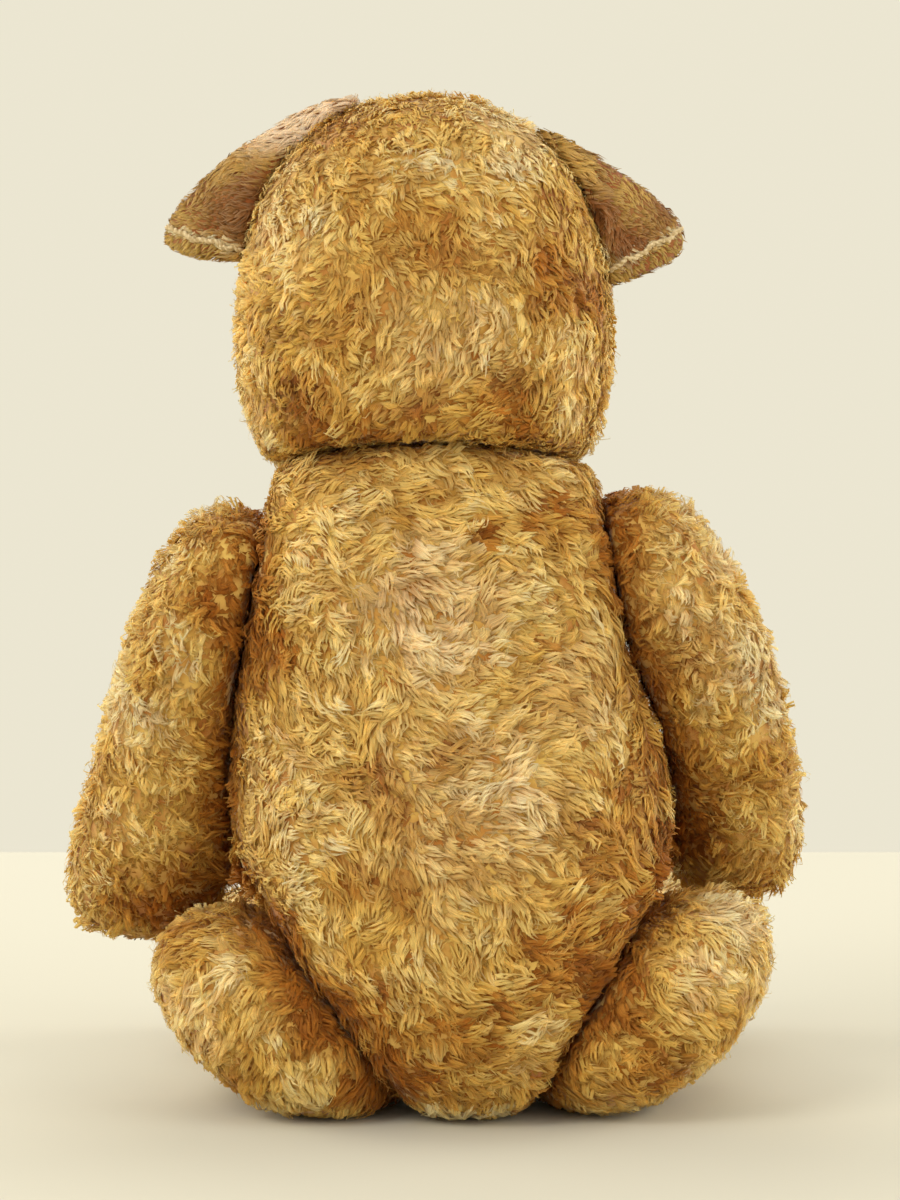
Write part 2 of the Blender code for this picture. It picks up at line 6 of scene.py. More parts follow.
import bmesh
import bpy
import numpy as np
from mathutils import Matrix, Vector
from mathutils.bvhtree import BVHTree
from mathutils.kdtree import KDTree


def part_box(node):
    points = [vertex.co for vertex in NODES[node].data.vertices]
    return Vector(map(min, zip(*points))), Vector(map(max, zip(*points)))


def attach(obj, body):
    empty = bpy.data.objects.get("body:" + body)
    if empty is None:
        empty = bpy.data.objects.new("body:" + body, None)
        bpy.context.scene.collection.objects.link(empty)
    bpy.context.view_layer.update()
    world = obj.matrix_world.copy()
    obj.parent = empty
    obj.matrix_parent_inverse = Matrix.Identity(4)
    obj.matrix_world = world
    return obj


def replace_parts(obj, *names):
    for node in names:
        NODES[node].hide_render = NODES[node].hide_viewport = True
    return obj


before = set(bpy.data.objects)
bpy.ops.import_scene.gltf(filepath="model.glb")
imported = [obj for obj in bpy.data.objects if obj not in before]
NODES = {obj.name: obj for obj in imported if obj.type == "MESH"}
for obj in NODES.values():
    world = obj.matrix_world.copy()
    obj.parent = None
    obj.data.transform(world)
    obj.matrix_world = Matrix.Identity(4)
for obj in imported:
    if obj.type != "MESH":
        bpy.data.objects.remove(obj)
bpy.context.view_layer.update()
SIDES = ("left", "right")
scene = bpy.context.scene

# Sewn skins: size of the remesh, how far it lies inside the CAD form, and passes of smoothing. Metres.
SKIN_VOXEL, SKIN_INSET, SKIN_SMOOTHING = 0.0045, 0.0010, 5
EAR_VOXEL, EAR_INSET, EAR_SMOOTHING = 0.0028, 0.0006, 3
FLOOR_CLEAR = 0.0004
FAR = 0.03  # distances between skins are measured up to here

# Pile.
MOST_TRIANGLES = 195000  # in a piece
CANDIDATES = 7  # points tried for each lock
STEPS = 12  # along a strand, from which a few are kept
FIBRE_WIDTH = 0.00022
LOCK_ROUND = 0.75  # how far the shading turns from the middle of a lock to its side
STRAND_ROUND = 0.07  # and from the middle of a strand to its edge
SLOPE_SHADE = 0.8  # how far the shading follows a strand's slope

# How the strands at a lock's side differ from the one in its middle, as shares of that one's size.
SIDE_SHORTER = 0.28
SIDE_LOWER = 0.40
SIDE_LATER = 0.08
# painted shade: how far a side strand darkens towards its lock's root colour
SIDE_PAINTED_SHADE = 0.16

# How a strand runs: it starts behind its lock's heart and a little under the skin, and rises in an arc.
ROOT_BACK = 0.42  # share of the lock's length
ROOT_SUNK = 0.0008
ROOT_TURN = 0.40  # share of its bend by which a strand's root is turned the other way
ARC_START, ARC = 0.04, 0.60  # shares of half a circle
ARC_POWER = 1.6
WAVE = 4.6  # radians of the curl's wave from root to tip
ROOT_WIDTH, TIP_NARROWER = 0.7, 0.25  # shares of the half width

# The pile breaks into small clumps: it dips along winding creases, and painted shade darkens them.
CLUMP = 0.011
CREASE_WIDTH = 0.17  # of the clumps' noise, which runs from -1 to 1
CREASE_DEPTH = 0.5
CLUMP_SWELL = 0.35
CREASE_PAINTED_SHADE = np.array((0.26, 0.38, 0.50))  # how far a crease darkens red, green and blue

# The colours of the mohair, linear, from dark roots to pale tips: soiled roots and sun-faded tips, with
# painted shade at the roots and painted highlight at the tips.
UMBER = np.array((0.19, 0.050, 0.005))
AMBER = np.array((0.55, 0.205, 0.022))
TAN = np.array((0.80, 0.512, 0.106))
STRAW = np.array((0.93, 0.710, 0.240))
PALE = np.array((0.97, 0.850, 0.500))
TONES = np.array((UMBER, AMBER, TAN, STRAW, PALE))
# Tones run from 0, which is UMBER, to 1, which is PALE.
# The second tone is that of soiled pile and of the painted shade where parts meet.
BASE_TONE, SOIL_AND_SHADE_TONE, LEAST_TONE = 0.69, 0.20, 0.14
# Roots are darker by ROOT_DARKER: partly their unfaded colour, partly painted shade at the foot of the pile.
UNDER_DARKER, ROOT_DARKER = 0.22, 0.24
ROSE = np.array((0.84, 0.60, 0.350))
HONEY = np.array((0.92, 0.60, 0.120))
EAR_BROWN = np.array((0.38, 0.170, 0.036))
RUSSET = np.array((0.27, 0.080, 0.012))
SILKY = np.array((0.88, 0.70, 0.49))
LUMA = (0.30, 0.59, 0.11)  # how bright red, green and blue look


# ---------------- smooth noise


LATTICES = {}


def lattice(seed):
    if seed not in LATTICES:
        LATTICES[seed] = np.random.default_rng(seed).random((32, 32, 32)) * 2 - 1
    return LATTICES[seed]


def noise(points, scale, seed):
    """Smooth noise from -1 to 1 at each point, with features of this size. Each use has its own seed."""
    grid = lattice(seed)
    place = points / scale + 7.3  # so that no plane of the lattice lies in the bear's middle
    cell = np.floor(place).astype(int)
    share = place - cell
    share = share * share * (3 - 2 * share)
    total = np.zeros(len(points))
    for corner in range(8):
        step = np.array((corner & 1, (corner >> 1) & 1, corner >> 2))
        at = (cell + step) % 32
        weight = np.prod(np.where(step, share, 1 - share), axis=1)
        total += weight * grid[at[:, 0], at[:, 1], at[:, 2]]
    return total


def unit(vectors):
    return vectors / np.maximum(np.linalg.norm(vectors, axis=1, keepdims=True), 1e-9)


# ---------------- skins


def joined_copy(nodes):
    """One mesh of several CAD nodes, with the vertices that the importer split made one again."""
    bm = bmesh.new()
    for node in nodes:
        bm.from_mesh(NODES[node].data)
    bmesh.ops.remove_doubles(bm, verts=bm.verts, dist=1e-6)
    mesh = bpy.data.meshes.new("copy")
    bm.to_mesh(mesh)
    bm.free()
    return mesh


def largest_piece(bm):
    """Removes all but the piece with the largest box, which is the outside."""
    left = set(bm.verts)
    best, best_size = [], -1.0
    while left:
        start = left.pop()
        piece, edge = [start], [start]
        while edge:
            vert = edge.pop()
            for link_edge in vert.link_edges:
                other = link_edge.other_vert(vert)
                if other in left:
                    left.remove(other)
                    piece.append(other)
                    edge.append(other)
        co = np.array([v.co for v in piece])
        size = np.linalg.norm(co.max(0) - co.min(0))
        if size > best_size:
            best, best_size = piece, size
    keep = set(best)
    bmesh.ops.delete(bm, geom=[v for v in bm.verts if v not in keep], context="VERTS")


def add_object(name, data):
    made = bpy.data.objects.new(name, data)
    scene.collection.objects.link(made)
    return made


def skin_mesh(nodes, voxel, inset, smoothing):
    """The outside of these nodes as an even, softened mesh, a little inside them."""
    guide = add_object("guide", joined_copy(nodes))
    remesh = guide.modifiers.new("remesh", "REMESH")
    remesh.mode = "VOXEL"
    remesh.voxel_size = voxel
    soften = guide.modifiers.new("soften", "SMOOTH")
    soften.factor = 0.5
    soften.iterations = smoothing
    graph = bpy.context.evaluated_depsgraph_get()
    mesh = bpy.data.meshes.new_from_object(guide.evaluated_get(graph))
    bpy.data.objects.remove(guide, do_unlink=True)
    bm = bmesh.new()
    bm.from_mesh(mesh)
    largest_piece(bm)
    bm.normal_update()
    moves = [v.normal * inset for v in bm.verts]
    for vert, move in zip(bm.verts, moves):
        vert.co -= move
        vert.co.z = max(vert.co.z, FLOOR_CLEAR)
    bm.to_mesh(mesh)
    bm.free()
    mesh.shade_smooth()
    return mesh


def add_piece(name, mesh, body, material):
    piece = add_object(name, mesh)
    mesh.name = name
    mesh.materials.clear()
    mesh.materials.append(material)
    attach(piece, body)
    return piece


def tree_of(mesh):
    return BVHTree.FromPolygons(
        [v.co for v in mesh.vertices], [tuple(p.vertices) for p in mesh.polygons]
    )


def vectors_of(items, key):
    """A vector of each item of a mesh, such as the co of its vertices, as rows."""
    values = np.empty(len(items) * 3)
    items.foreach_get(key, values)
    return values.reshape(-1, 3)


def triangles(mesh):
    """(corner points, corner normals) of the mesh's triangles."""
    mesh.calc_loop_triangles()
    corners = np.empty(len(mesh.loop_triangles) * 3, int)
    mesh.loop_triangles.foreach_get("vertices", corners)
    corners = corners.reshape(-1, 3)
    return vectors_of(mesh.vertices, "co")[corners], vectors_of(mesh.vertices, "normal")[corners]


def scattered(mesh, spacing, rng):
    """Points spread evenly over a mesh, none nearer to another than spacing, with their normals."""
    points, normals = triangles(mesh)
    sides = np.cross(points[:, 1] - points[:, 0], points[:, 2] - points[:, 0])
    areas = np.linalg.norm(sides, axis=1) / 2
    count = int(CANDIDATES * areas.sum() / spacing**2)
    chosen = rng.choice(len(areas), count, p=areas / areas.sum())
    u, v = rng.random((2, count, 1))
    over = (u + v) > 1
    u, v = np.where(over, 1 - u, u), np.where(over, 1 - v, v)
    w = 1 - u - v
    at = points[chosen]
    place = at[:, 0] * u + at[:, 1] * v + at[:, 2] * w
    facing = normals[chosen]
    facing = unit(facing[:, 0] * u + facing[:, 1] * v + facing[:, 2] * w)
    tree = KDTree(count)
    for i, spot in enumerate(place):
        tree.insert(spot, i)
    tree.balance()
    taken = np.zeros(count, bool)
    crowded = np.zeros(count, bool)
    for i, spot in enumerate(place):
        if crowded[i]:
            continue
        taken[i] = True
        for _, other, _ in tree.find_range(spot, spacing):
            crowded[other] = True
    return place[taken], facing[taken]


def falls_of(tree, hearts, facing, along, across, reach):
    """How the surface curves away from its tangent plane: ahead, behind, to the left and to the right."""
    falls = np.empty((len(hearts), 4))
    for i, (heart, normal) in enumerate(zip(hearts, facing)):
        for k, way in enumerate((along[i], -along[i], across[i], -across[i])):
            near = tree.find_nearest(heart + way * reach[i])[0]
            falls[i, k] = (np.array(near) - heart) @ normal
    reach = reach[:, None]
    return np.clip(falls, -reach, 0.3 * reach) / reach**2


# ---------------- pile


def blend_to(colour, other, share):
    share = np.clip(share, 0, 1)[:, None]
    return colour * (1 - share) + other * share


def turned(direction, normal, angle):
    """direction turned about normal by an angle, all as arrays."""
    across = np.cross(normal, direction)
    return direction * np.cos(angle)[:, None] + across * np.sin(angle)[:, None]


def strands_of(locks, per_lock, rng):
    """Locks split into strands that lie side by side: columns with a row for each strand."""
    lock_count = len(locks["heart"])
    pick = np.repeat(np.arange(lock_count), per_lock)
    one = (len(pick), 1)
    lock_half, lock_length, lock_height, lock_bend, lock_curl, lock_phase = (
        locks[key][pick][:, None] for key in ("half_width", "length", "height", "bend", "curl", "phase")
    )
    place = np.tile(np.arange(per_lock), lock_count)[:, None] + rng.uniform(0.1, 0.9, one)
    place = place / per_lock * 2 - 1
    stray = rng.random(one) < locks["stray"]
    place = place * np.where(stray, rng.uniform(1.1, 1.9, one), 1.0)
    side = np.clip(place, -1, 1)
    length = lock_length * (1 - SIDE_SHORTER * side**2) * rng.uniform(0.75, 1.12, one)
    height = lock_height * rng.uniform(0.94, 1.04, one) * (1 - SIDE_LOWER * side**2)
    height *= np.where(stray, rng.uniform(0.7, 1.0, one), 1.0)
    half = lock_half / per_lock * locks["overlap"] * rng.uniform(0.75, 1.25, one)
    late = lock_length * (rng.normal(0, locks["spill"], one) + SIDE_LATER * side**2 - ROOT_BACK)
    roll = rng.normal(0, 0.06, one)
    bend = lock_bend + rng.normal(0, 0.16, one)
    wave = lock_curl * rng.uniform(0.8, 1.2, one)
    phase = lock_phase + rng.normal(0, 0.12, one)
    start = rng.normal(0, 0.05, one) - ROOT_TURN * bend
    shade = rng.normal(1.0, 0.03, one)
    return SimpleNamespace(
        pick=pick, offset=place * lock_half, side=side, length=length, height=height, half=half, late=late,
        roll=roll, bend=bend, wave=wave, phase=phase, start=start, shade=shade,
    )


def grown_strands(strands, locks, segments):
    """(points, shading normals, colours) of each strand: two at each step along it, and one at its tip."""
    s = strands
    heart, normal, along = (locks[key][s.pick] for key in ("heart", "normal", "along"))
    body, deep, tip = (locks[key][s.pick] for key in ("colour", "deep", "tip"))
    falls = locks["falls"][s.pick]
    across = np.cross(normal, along)
    points = np.empty((len(s.pick), 2 * segments + 1, 3))
    shading = np.empty_like(points)
    colours = np.ones((*points.shape[:2], 4))
    x, y = s.late.copy(), np.zeros_like(s.late)
    for step in range(STEPS + 1):
        share = step / STEPS
        heading = s.start + s.bend * share + s.wave * np.sin(s.phase + WAVE * share)
        ahead, aside = np.cos(heading), np.sin(heading)
        if step % (STEPS // segments) == 0:
            lift = math.pi * (ARC_START + ARC * share)
            rise = math.sin(lift) ** ARC_POWER
            slope = ARC_POWER * ARC * math.pi * math.sin(lift) ** (ARC_POWER - 1) * math.cos(lift)
            slope = slope * s.height / s.length
            off = s.offset * (1 - locks["gather"] * share**2)
            on_x, on_y = x - aside * off, y + ahead * off
            fall_x = np.where(on_x > 0, falls[:, :1], falls[:, 1:2])
            fall_y = np.where(on_y > 0, falls[:, 2:3], falls[:, 3:])
            flat = heart + along * on_x + across * on_y
            up = unit(normal - 2 * (along * (fall_x * on_x) + across * (fall_y * on_y)))
            swell = noise(flat, CLUMP, 71)[:, None]
            crease = np.exp(-((swell / CREASE_WIDTH) ** 2)) * locks["creased"]
            dented = s.height * (1 + CLUMP_SWELL * swell * locks["creased"]) * (1 - CREASE_DEPTH * crease)
            lifted = dented * rise - ROOT_SUNK * (1 - rise)
            centre = flat + normal * (fall_x * on_x**2 + fall_y * on_y**2) + up * lifted
            forward, sideways = along * ahead + across * aside, across * ahead - along * aside
            lean = up - forward * (SLOPE_SHADE * slope)
            lean += sideways * (LOCK_ROUND * s.side + s.roll)
            # Dark at the root, partly its unfaded colour and partly painted shade at the foot of the pile;
            # painted shade along the sides and in the creases; the lock's own colour on top; a pale tip,
            # partly faded and partly painted highlight.
            foot, head = max(0.0, 1 - share * 3.2), max(0.0, share * 1.6 - 0.6)
            dark = np.clip(foot + SIDE_PAINTED_SHADE * s.side**2, 0, 1)
            tone = (deep * dark + body * (1 - dark)) * (1 - head) + tip * head
            tone = tone * (1 - crease * CREASE_PAINTED_SHADE)
            row = 2 * step * segments // STEPS
            colours[:, row : row + 2, :3] = (tone * s.shade)[:, None]
            if step == STEPS:
                points[:, row], shading[:, row] = centre, lean
                break
            turn = sideways * np.cos(s.roll) + up * np.sin(s.roll)
            turn *= s.half * (ROOT_WIDTH if step == 0 else 1.0 - TIP_NARROWER * share)
            points[:, row], points[:, row + 1] = centre - turn, centre + turn
            shading[:, row] = lean - sideways * STRAND_ROUND
            shading[:, row + 1] = lean + sideways * STRAND_ROUND
        x += ahead * s.length / STEPS
        y += aside * s.length / STEPS
    return points, shading, colours


def hold_down(points, tree, most):
    """Brings each point that stands off the skin by more than this back to it."""
    for point in points.reshape(-1, 3):
        near, _, _, away = tree.find_nearest(point)
        if away > most:
            point[:] = np.array(near) + (point - np.array(near)) * most / away


def folded(points, shading, segments):
    """Which strands bend so tightly that a face turns its back."""
    turned_over = np.zeros(len(points), bool)
    for k in range(segments):
        left, right, ahead = points[:, 2 * k], points[:, 2 * k + 1], points[:, 2 * k + 2]
        beyond = points[:, min(2 * k + 3, 2 * segments)]
        for one, other in ((ahead, beyond), (beyond, right), (ahead, right)):
            facing = np.cross(one - left, other - left)
            turned_over |= np.sum(facing * shading[:, 2 * k], axis=1) < 0
    return turned_over


def add_uv(mesh, name, u, v, loops):
    layer = mesh.uv_layers.new(name=name)
    layer.data.foreach_set("uv", np.stack([u.ravel(), v.ravel()], axis=1)[loops].ravel())


def lock_mesh(locks, per_lock, segments, rng):
    """Locks of curved, pointed strands as one mesh, with a colour for each point."""
    strands = strands_of(locks, per_lock, rng)
    points, shading, colours = grown_strands(strands, locks, segments)
    if locks["guard"]:
        hold_down(points, *locks["guard"])
    kept = ~folded(points, shading, segments)
    pick, side, half = strands.pick[kept][:, None], strands.side[kept], strands.half[kept]
    flat = points[kept].reshape(-1, 3)
    flat[:, 2] = np.maximum(flat[:, 2], FLOOR_CLEAR)
    mesh = bpy.data.meshes.new("locks")
    mesh.vertices.add(len(flat))
    mesh.vertices.foreach_set("co", flat.ravel())
    count, each = len(pick), 2 * segments + 1
    base = (np.arange(count) * each)[:, None]
    rungs = [base + (2 * k, 2 * k + 2, 2 * k + 3, 2 * k + 1) for k in range(segments - 1)]
    quads = np.concatenate(rungs, axis=1).reshape(-1, 4)
    tips = base + (each - 3, each - 1, each - 2)
    loops = np.concatenate([quads.ravel(), tips.ravel()])
    starts = np.concatenate([np.arange(len(quads)) * 4, len(quads) * 4 + np.arange(count) * 3])
    mesh.loops.add(len(loops))
    mesh.loops.foreach_set("vertex_index", loops.astype(np.int32))
    mesh.polygons.add(len(starts))
    mesh.polygons.foreach_set("loop_start", starts.astype(np.int32))
    mesh.update(calc_edges=True)
    mesh.validate()
    colour = mesh.color_attributes.new("pile", "FLOAT_COLOR", "POINT")
    colour.data.foreach_set("color", np.clip(colours[kept], 0, 1).ravel())
    # One small square of the map for each lock, root at its foot and tip at its head.
    row_of = math.ceil(math.sqrt(len(locks["heart"])))
    edge = np.array([-1.0, 1.0] * segments + [0.0])
    reach = np.repeat(np.arange(segments + 1) / segments, 2)[:each]
    u = (pick % row_of + 0.5 + 0.36 * side + 0.4 / per_lock * edge) / row_of
    add_uv(mesh, "OFBake", u, (pick // row_of + 0.12 + 0.76 * reach) / row_of, loops)
    # Across and along each strand, shifted by a number of its own.
    own = rng.uniform(0, 900, (count, 1))
    add_uv(mesh, "fibres", edge * (half / FIBRE_WIDTH) + own, reach * 1.3 + own * 0.37, loops)
    mesh.shade_smooth()
    mesh.normals_split_custom_set_from_vertices(unit(shading[kept].reshape(-1, 3)))
    return mesh


# ---------------- materials


def set_inputs(node, values):
    for name, value in values.items():
        node.inputs[name.replace("_", " ")].default_value = value


def add_node(tree, kind, **inputs):
    """A new shader node with these inputs set. An underscore in an input's name stands for a space."""
    node = tree.nodes.new("ShaderNode" + kind)
    set_inputs(node, inputs)
    return node


def wire(source, output, target, entry):
    source.id_data.links.new(source.outputs[output], target.inputs[entry])


def new_material(name, **inputs):
    made = bpy.data.materials.new(name)
    made.use_nodes = True
    shader = made.node_tree.nodes["Principled BSDF"]
    set_inputs(shader, inputs)
    return made, made.node_tree, shader


def noise_of(place, output, dimensions="3D", **inputs):
    """A noise texture that is read at the vector of another node."""
    node = add_node(place.id_data, "TexNoise")
    node.noise_dimensions = dimensions
    set_inputs(node, inputs)
    wire(place, output, node, "Vector")
    return node


def add_bump(height, shader, strength, distance):
    """Bumps the shader by a noise texture."""
    bump = add_node(shader.id_data, "Bump", Strength=strength, Distance=distance)
    wire(height, "Fac", bump, "Height")
    wire(bump, "Normal", shader, "Normal")


def pile_material(name, roughness, sheen):
    """Mohair strands: their own colours, broken by finer fibres along each strand."""
    made, tree, shader = new_material(
        name, Roughness=roughness, Specular_IOR_Level=0.16, Sheen_Weight=sheen, Sheen_Roughness=0.4,
        Sheen_Tint=(1.0, 0.80, 0.46, 1.0), Subsurface_Weight=0.55, Subsurface_Radius=(1.0, 0.72, 0.48),
        Subsurface_Scale=0.003,
    )
    shader.subsurface_method = "BURLEY"
    colour = add_node(tree, "Attribute")
    colour.attribute_name = "pile"
    place = add_node(tree, "UVMap")
    place.uv_map = "fibres"
    fibre = noise_of(place, "UV", "2D", Scale=1.0, Detail=1.0)
    add_bump(fibre, shader, 0.5, 0.0003)
    tone = add_node(tree, "MapRange", From_Min=0.3, From_Max=0.7, To_Min=0.72, To_Max=1.16)
    wire(fibre, "Fac", tone, "Value")
    mixed = add_node(tree, "VectorMath")
    mixed.operation = "SCALE"
    wire(colour, "Color", mixed, 0)
    wire(tone, "Result", mixed, "Scale")
    # Light that comes through the hairs from behind.
    through = add_node(tree, "BsdfTranslucent")
    both = add_node(tree, "MixShader", Fac=0.30)
    wire(mixed, "Vector", shader, "Base Color")
    wire(mixed, "Vector", through, "Color")
    wire(shader, "BSDF", both, 1)
    wire(through, "BSDF", both, 2)
    wire(both, "Shader", tree.nodes["Material Output"], "Surface")
    return made


def mottled_material(name, stops, cloud, grain=None, bump=None, stretch=(1, 1, 1), **inputs):
    """Colours mixed by noise, which may be drawn out one way, with a fine bump.

    stops are (position, colour), cloud and grain are the inputs of the two noises, and bump is a strength
    and a distance. The rest are inputs of the shader.
    """
    made, tree, shader = new_material(name, **inputs)
    spread = add_node(tree, "Mapping", Scale=stretch)
    wire(add_node(tree, "TexCoord"), "Object", spread, "Vector")
    ramp = add_node(tree, "ValToRGB")
    for _ in stops[2:]:
        ramp.color_ramp.elements.new(0.5)
    for element, (at, colour) in zip(ramp.color_ramp.elements, stops):
        element.position = at
        element.color = (*colour, 1)
    wire(noise_of(spread, "Vector", **cloud), "Fac", ramp, "Fac")
    wire(ramp, "Color", shader, "Base Color")
    if grain:
        add_bump(noise_of(spread, "Vector", **grain), shader, *bump)
    return made


def backing_material(name, light, dark):
    """Worn woven backing with the felted foot of the pile."""
    weave = dict(cloud={"Scale": 60.0, "Detail": 5.0}, grain={"Scale": 1500.0}, bump=(0.5, 0.0006))
    return mottled_material(name, ((0.35, dark), (0.70, light)), **weave, Roughness=0.92, Sheen_Weight=0.3)


def plain_mottled(name, dark, light, scale, roughness, fine=0.0, **settings):
    """Two colours mixed by noise, with a bump as deep as fine."""
    grain = {"Scale": scale * 6, "Detail": 3.0} if fine else None
    cloud = {"Scale": scale, "Detail": 5.0}
    stops = ((0.36, dark), (0.66, light))
    return mottled_material(name, stops, cloud, grain, (0.6, fine), Roughness=roughness, **settings)


PILE = pile_material("mohair_pile", roughness=0.6, sheen=0.16)
EAR_PILE = pile_material("ear_pile", roughness=0.7, sheen=0.2)
BACKING = backing_material("plush_backing", TAN * 0.9, AMBER * 0.8)
EAR_BACKING = backing_material("ear_backing", EAR_BROWN, UMBER * 1.6)
FELT = mottled_material(  # matted, rubbed thin and soiled in places
    "felt_pad",
    ((0.30, (0.24, 0.155, 0.075)), (0.50, (0.47, 0.345, 0.200)), (0.72, (0.62, 0.490, 0.320))),
    cloud={"Scale": 70.0, "Detail": 6.0, "Roughness": 0.65},
    grain={"Scale": 1400.0, "Detail": 4.0, "Distortion": 1.5},
    bump=(0.7, 0.0005),
    Roughness=0.95,
    Specular_IOR_Level=0.15,
    Sheen_Weight=0.4,
)
THREAD = plain_mottled("sewing_thread", (0.045, 0.022, 0.010), (0.12, 0.060, 0.028), 900.0, 0.8, 0.0002)
YARN = plain_mottled("wool_yarn", (0.016, 0.009, 0.006), (0.060, 0.032, 0.020), 700.0, 0.85, 0.0003)
BUTTON = plain_mottled("boot_button", (0.004, 0.003, 0.003), (0.020, 0.014, 0.011), 260.0, 0.16)
WOOD_WOOL = plain_mottled(
    "wood_wool", (0.28, 0.17, 0.070), (0.66, 0.47, 0.24), 160.0, 0.9, 0.0008, stretch=(1, 1, 0.25)
)
FIBREBOARD = plain_mottled("fibreboard", (0.10, 0.055, 0.026), (0.24, 0.150, 0.080), 240.0, 0.85, 0.0002)
HEM = plain_mottled("rolled_hem", (0.46, 0.31, 0.13), (0.80, 0.63, 0.35), 500.0, 0.9, 0.0003)
STEEL = plain_mottled("steel", (0.20, 0.14, 0.10), (0.52, 0.50, 0.47), 300.0, 0.38, Metallic=1.0)
INNER_MATERIALS = {"stuffing": WOOD_WOOL, "disc": FIBREBOARD, "washer": STEEL, "pin": STEEL}
for node, shape in NODES.items():
    for word, material in INNER_MATERIALS.items():
        if node.endswith(word):
            for place in shape.material_slots:
                place.material = material


# ---------------- the plush pieces


BODIES = {"body": "torso", "head": "head"}
INNER = {"body": [n for n in NODES if "_body_" in n], "head": ["neck_head_disc", "neck_head_washer"]}
for limb, joint in (("arm", "shoulder"), ("leg", "hip")):
    for hand in SIDES:
        BODIES[f"{hand}_{limb}"] = f"{hand}_{limb}"
        INNER[f"{hand}_{limb}"] = [f"{hand}_{joint}_{limb}_{inner}" for inner in ("disc", "washer")]
EARS = [hand + "_ear" for hand in SIDES]
RIDES = dict(BODIES, left_ear="head", right_ear="head")
skins = {}
for part, body in BODIES.items():
    nodes = [part + "_cover", part + "_stuffing"] + INNER[part]
    mesh = skin_mesh(nodes, SKIN_VOXEL, SKIN_INSET, SKIN_SMOOTHING)
    skins[part] = add_piece(part + "_plush", mesh, body, BACKING)
    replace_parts(skins[part], part + "_cover")
for part in EARS:
    mesh = skin_mesh([part], EAR_VOXEL, EAR_INSET, EAR_SMOOTHING)
    skins[part] = add_piece(part + "_plush", mesh, "head", EAR_BACKING)
    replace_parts(skins[part], part)
trees = {part: tree_of(skin.data) for part, skin in skins.items()}


def distance_to(others, points):
    """How far each point is from the nearest of these skins, up to FAR."""
    found = np.full(len(points), FAR)
    for other in others:
        for i, point in enumerate(points):
            near = trees[other].find_nearest(Vector(point), found[i])
            if near[3] is not None:
                found[i] = min(found[i], near[3])
    return found


def neighbours(part):
    """Skins of the other bodies, with those that meet at the neck apart."""
    others = [other for other in trees if RIDES[other] != RIDES[part]]
    neck = [other for other in others if {RIDES[other], RIDES[part]} == {"head", "torso"}]
    return [other for other in others if other not in neck], neck


def smooth_step(values, low, high):
    share = np.clip((values - low) / (high - low), 0, 1)
    return share * share * (3 - 2 * share)


# Patches of darker and lighter pile on the back of the bear, partly soiled and faded pile, partly painted
# shade in hollows and between parts and painted light on the top of the head and the outer arms: X, Z, radius
# and how far the tone shifts.
SOIL_AND_LIGHTING_PATCHES = (
    (0.100, 0.388, 0.014, -0.30), (0.063, 0.386, 0.022, -0.22), (0.083, 0.349, 0.020, -0.22),
    (0.110, 0.362, 0.018, 0.10), (0.098, 0.415, 0.030, 0.12), (-0.039, 0.403, 0.018, -0.30),
    (-0.028, 0.349, 0.016, -0.22), (-0.060, 0.398, 0.016, -0.20), (-0.049, 0.386, 0.009, 0.25),
    (-0.046, 0.344, 0.010, 0.30), (-0.055, 0.369, 0.010, 0.25), (-0.005, 0.337, 0.026, -0.12),
    (0.034, 0.343, 0.022, -0.12), (-0.010, 0.481, 0.036, 0.16), (0.078, 0.471, 0.017, 0.15),
    (0.061, 0.478, 0.008, -0.25), (0.024, 0.430, 0.018, -0.12), (0.008, 0.400, 0.014, 0.10),
    (-0.0075, 0.288, 0.009, -0.45), (-0.039, 0.290, 0.016, -0.22), (0.073, 0.290, 0.018, 0.10),
    (0.100, 0.233, 0.018, -0.32), (0.020, 0.251, 0.030, 0.12), (-0.034, 0.232, 0.007, -0.35),
    (-0.083, 0.173, 0.020, -0.18), (-0.074, 0.128, 0.030, -0.22), (-0.049, 0.090, 0.028, -0.24),
    (0.010, 0.034, 0.032, -0.22), (0.044, 0.168, 0.015, -0.18), (0.010, 0.180, 0.010, -0.22),
    (0.059, 0.124, 0.014, -0.15), (0.098, 0.183, 0.022, 0.06), (0.142, 0.090, 0.018, -0.35),
    (0.172, 0.098, 0.013, -0.28), (0.150, 0.200, 0.030, 0.10), (0.160, 0.250, 0.030, 0.14),
    (0.125, 0.251, 0.014, -0.18), (-0.112, 0.227, 0.016, -0.18), (-0.149, 0.168, 0.014, -0.25),
    (-0.112, 0.265, 0.026, 0.14), (-0.112, 0.139, 0.020, -0.40), (0.132, 0.075, 0.028, 0.14),
    (0.112, 0.027, 0.018, -0.25), (0.086, 0.094, 0.012, -0.30), (0.068, 0.056, 0.018, -0.35),
    (0.044, 0.022, 0.018, -0.30), (-0.112, 0.090, 0.028, 0.18), (-0.070, 0.062, 0.018, -0.30),
    (-0.088, 0.032, 0.018, -0.25), (0.092, 0.438, 0.030, 0.16), (-0.030, 0.478, 0.030, 0.14),
    (0.060, 0.440, 0.012, -0.15), (0.096, 0.404, 0.008, -0.25), (0.072, 0.336, 0.020, -0.18),
    (0.165, 0.210, 0.022, 0.10), (-0.135, 0.235, 0.024, 0.12), (0.180, 0.130, 0.034, 0.14),
    (-0.064, 0.150, 0.036, -0.07), (-0.140, 0.205, 0.036, 0.16), (-0.152, 0.150, 0.026, 0.14),
    (-0.125, 0.100, 0.020, 0.14), (0.106, 0.330, 0.024, 0.16), (0.110, 0.395, 0.022, 0.14),
    (0.120, 0.060, 0.026, 0.10), (0.018, 0.004, 0.008, 0.50), (0.000, 0.004, 0.008, 0.50),
    (-0.018, 0.004, 0.008, 0.50),
)
PATCH_DEPTH = 1.5
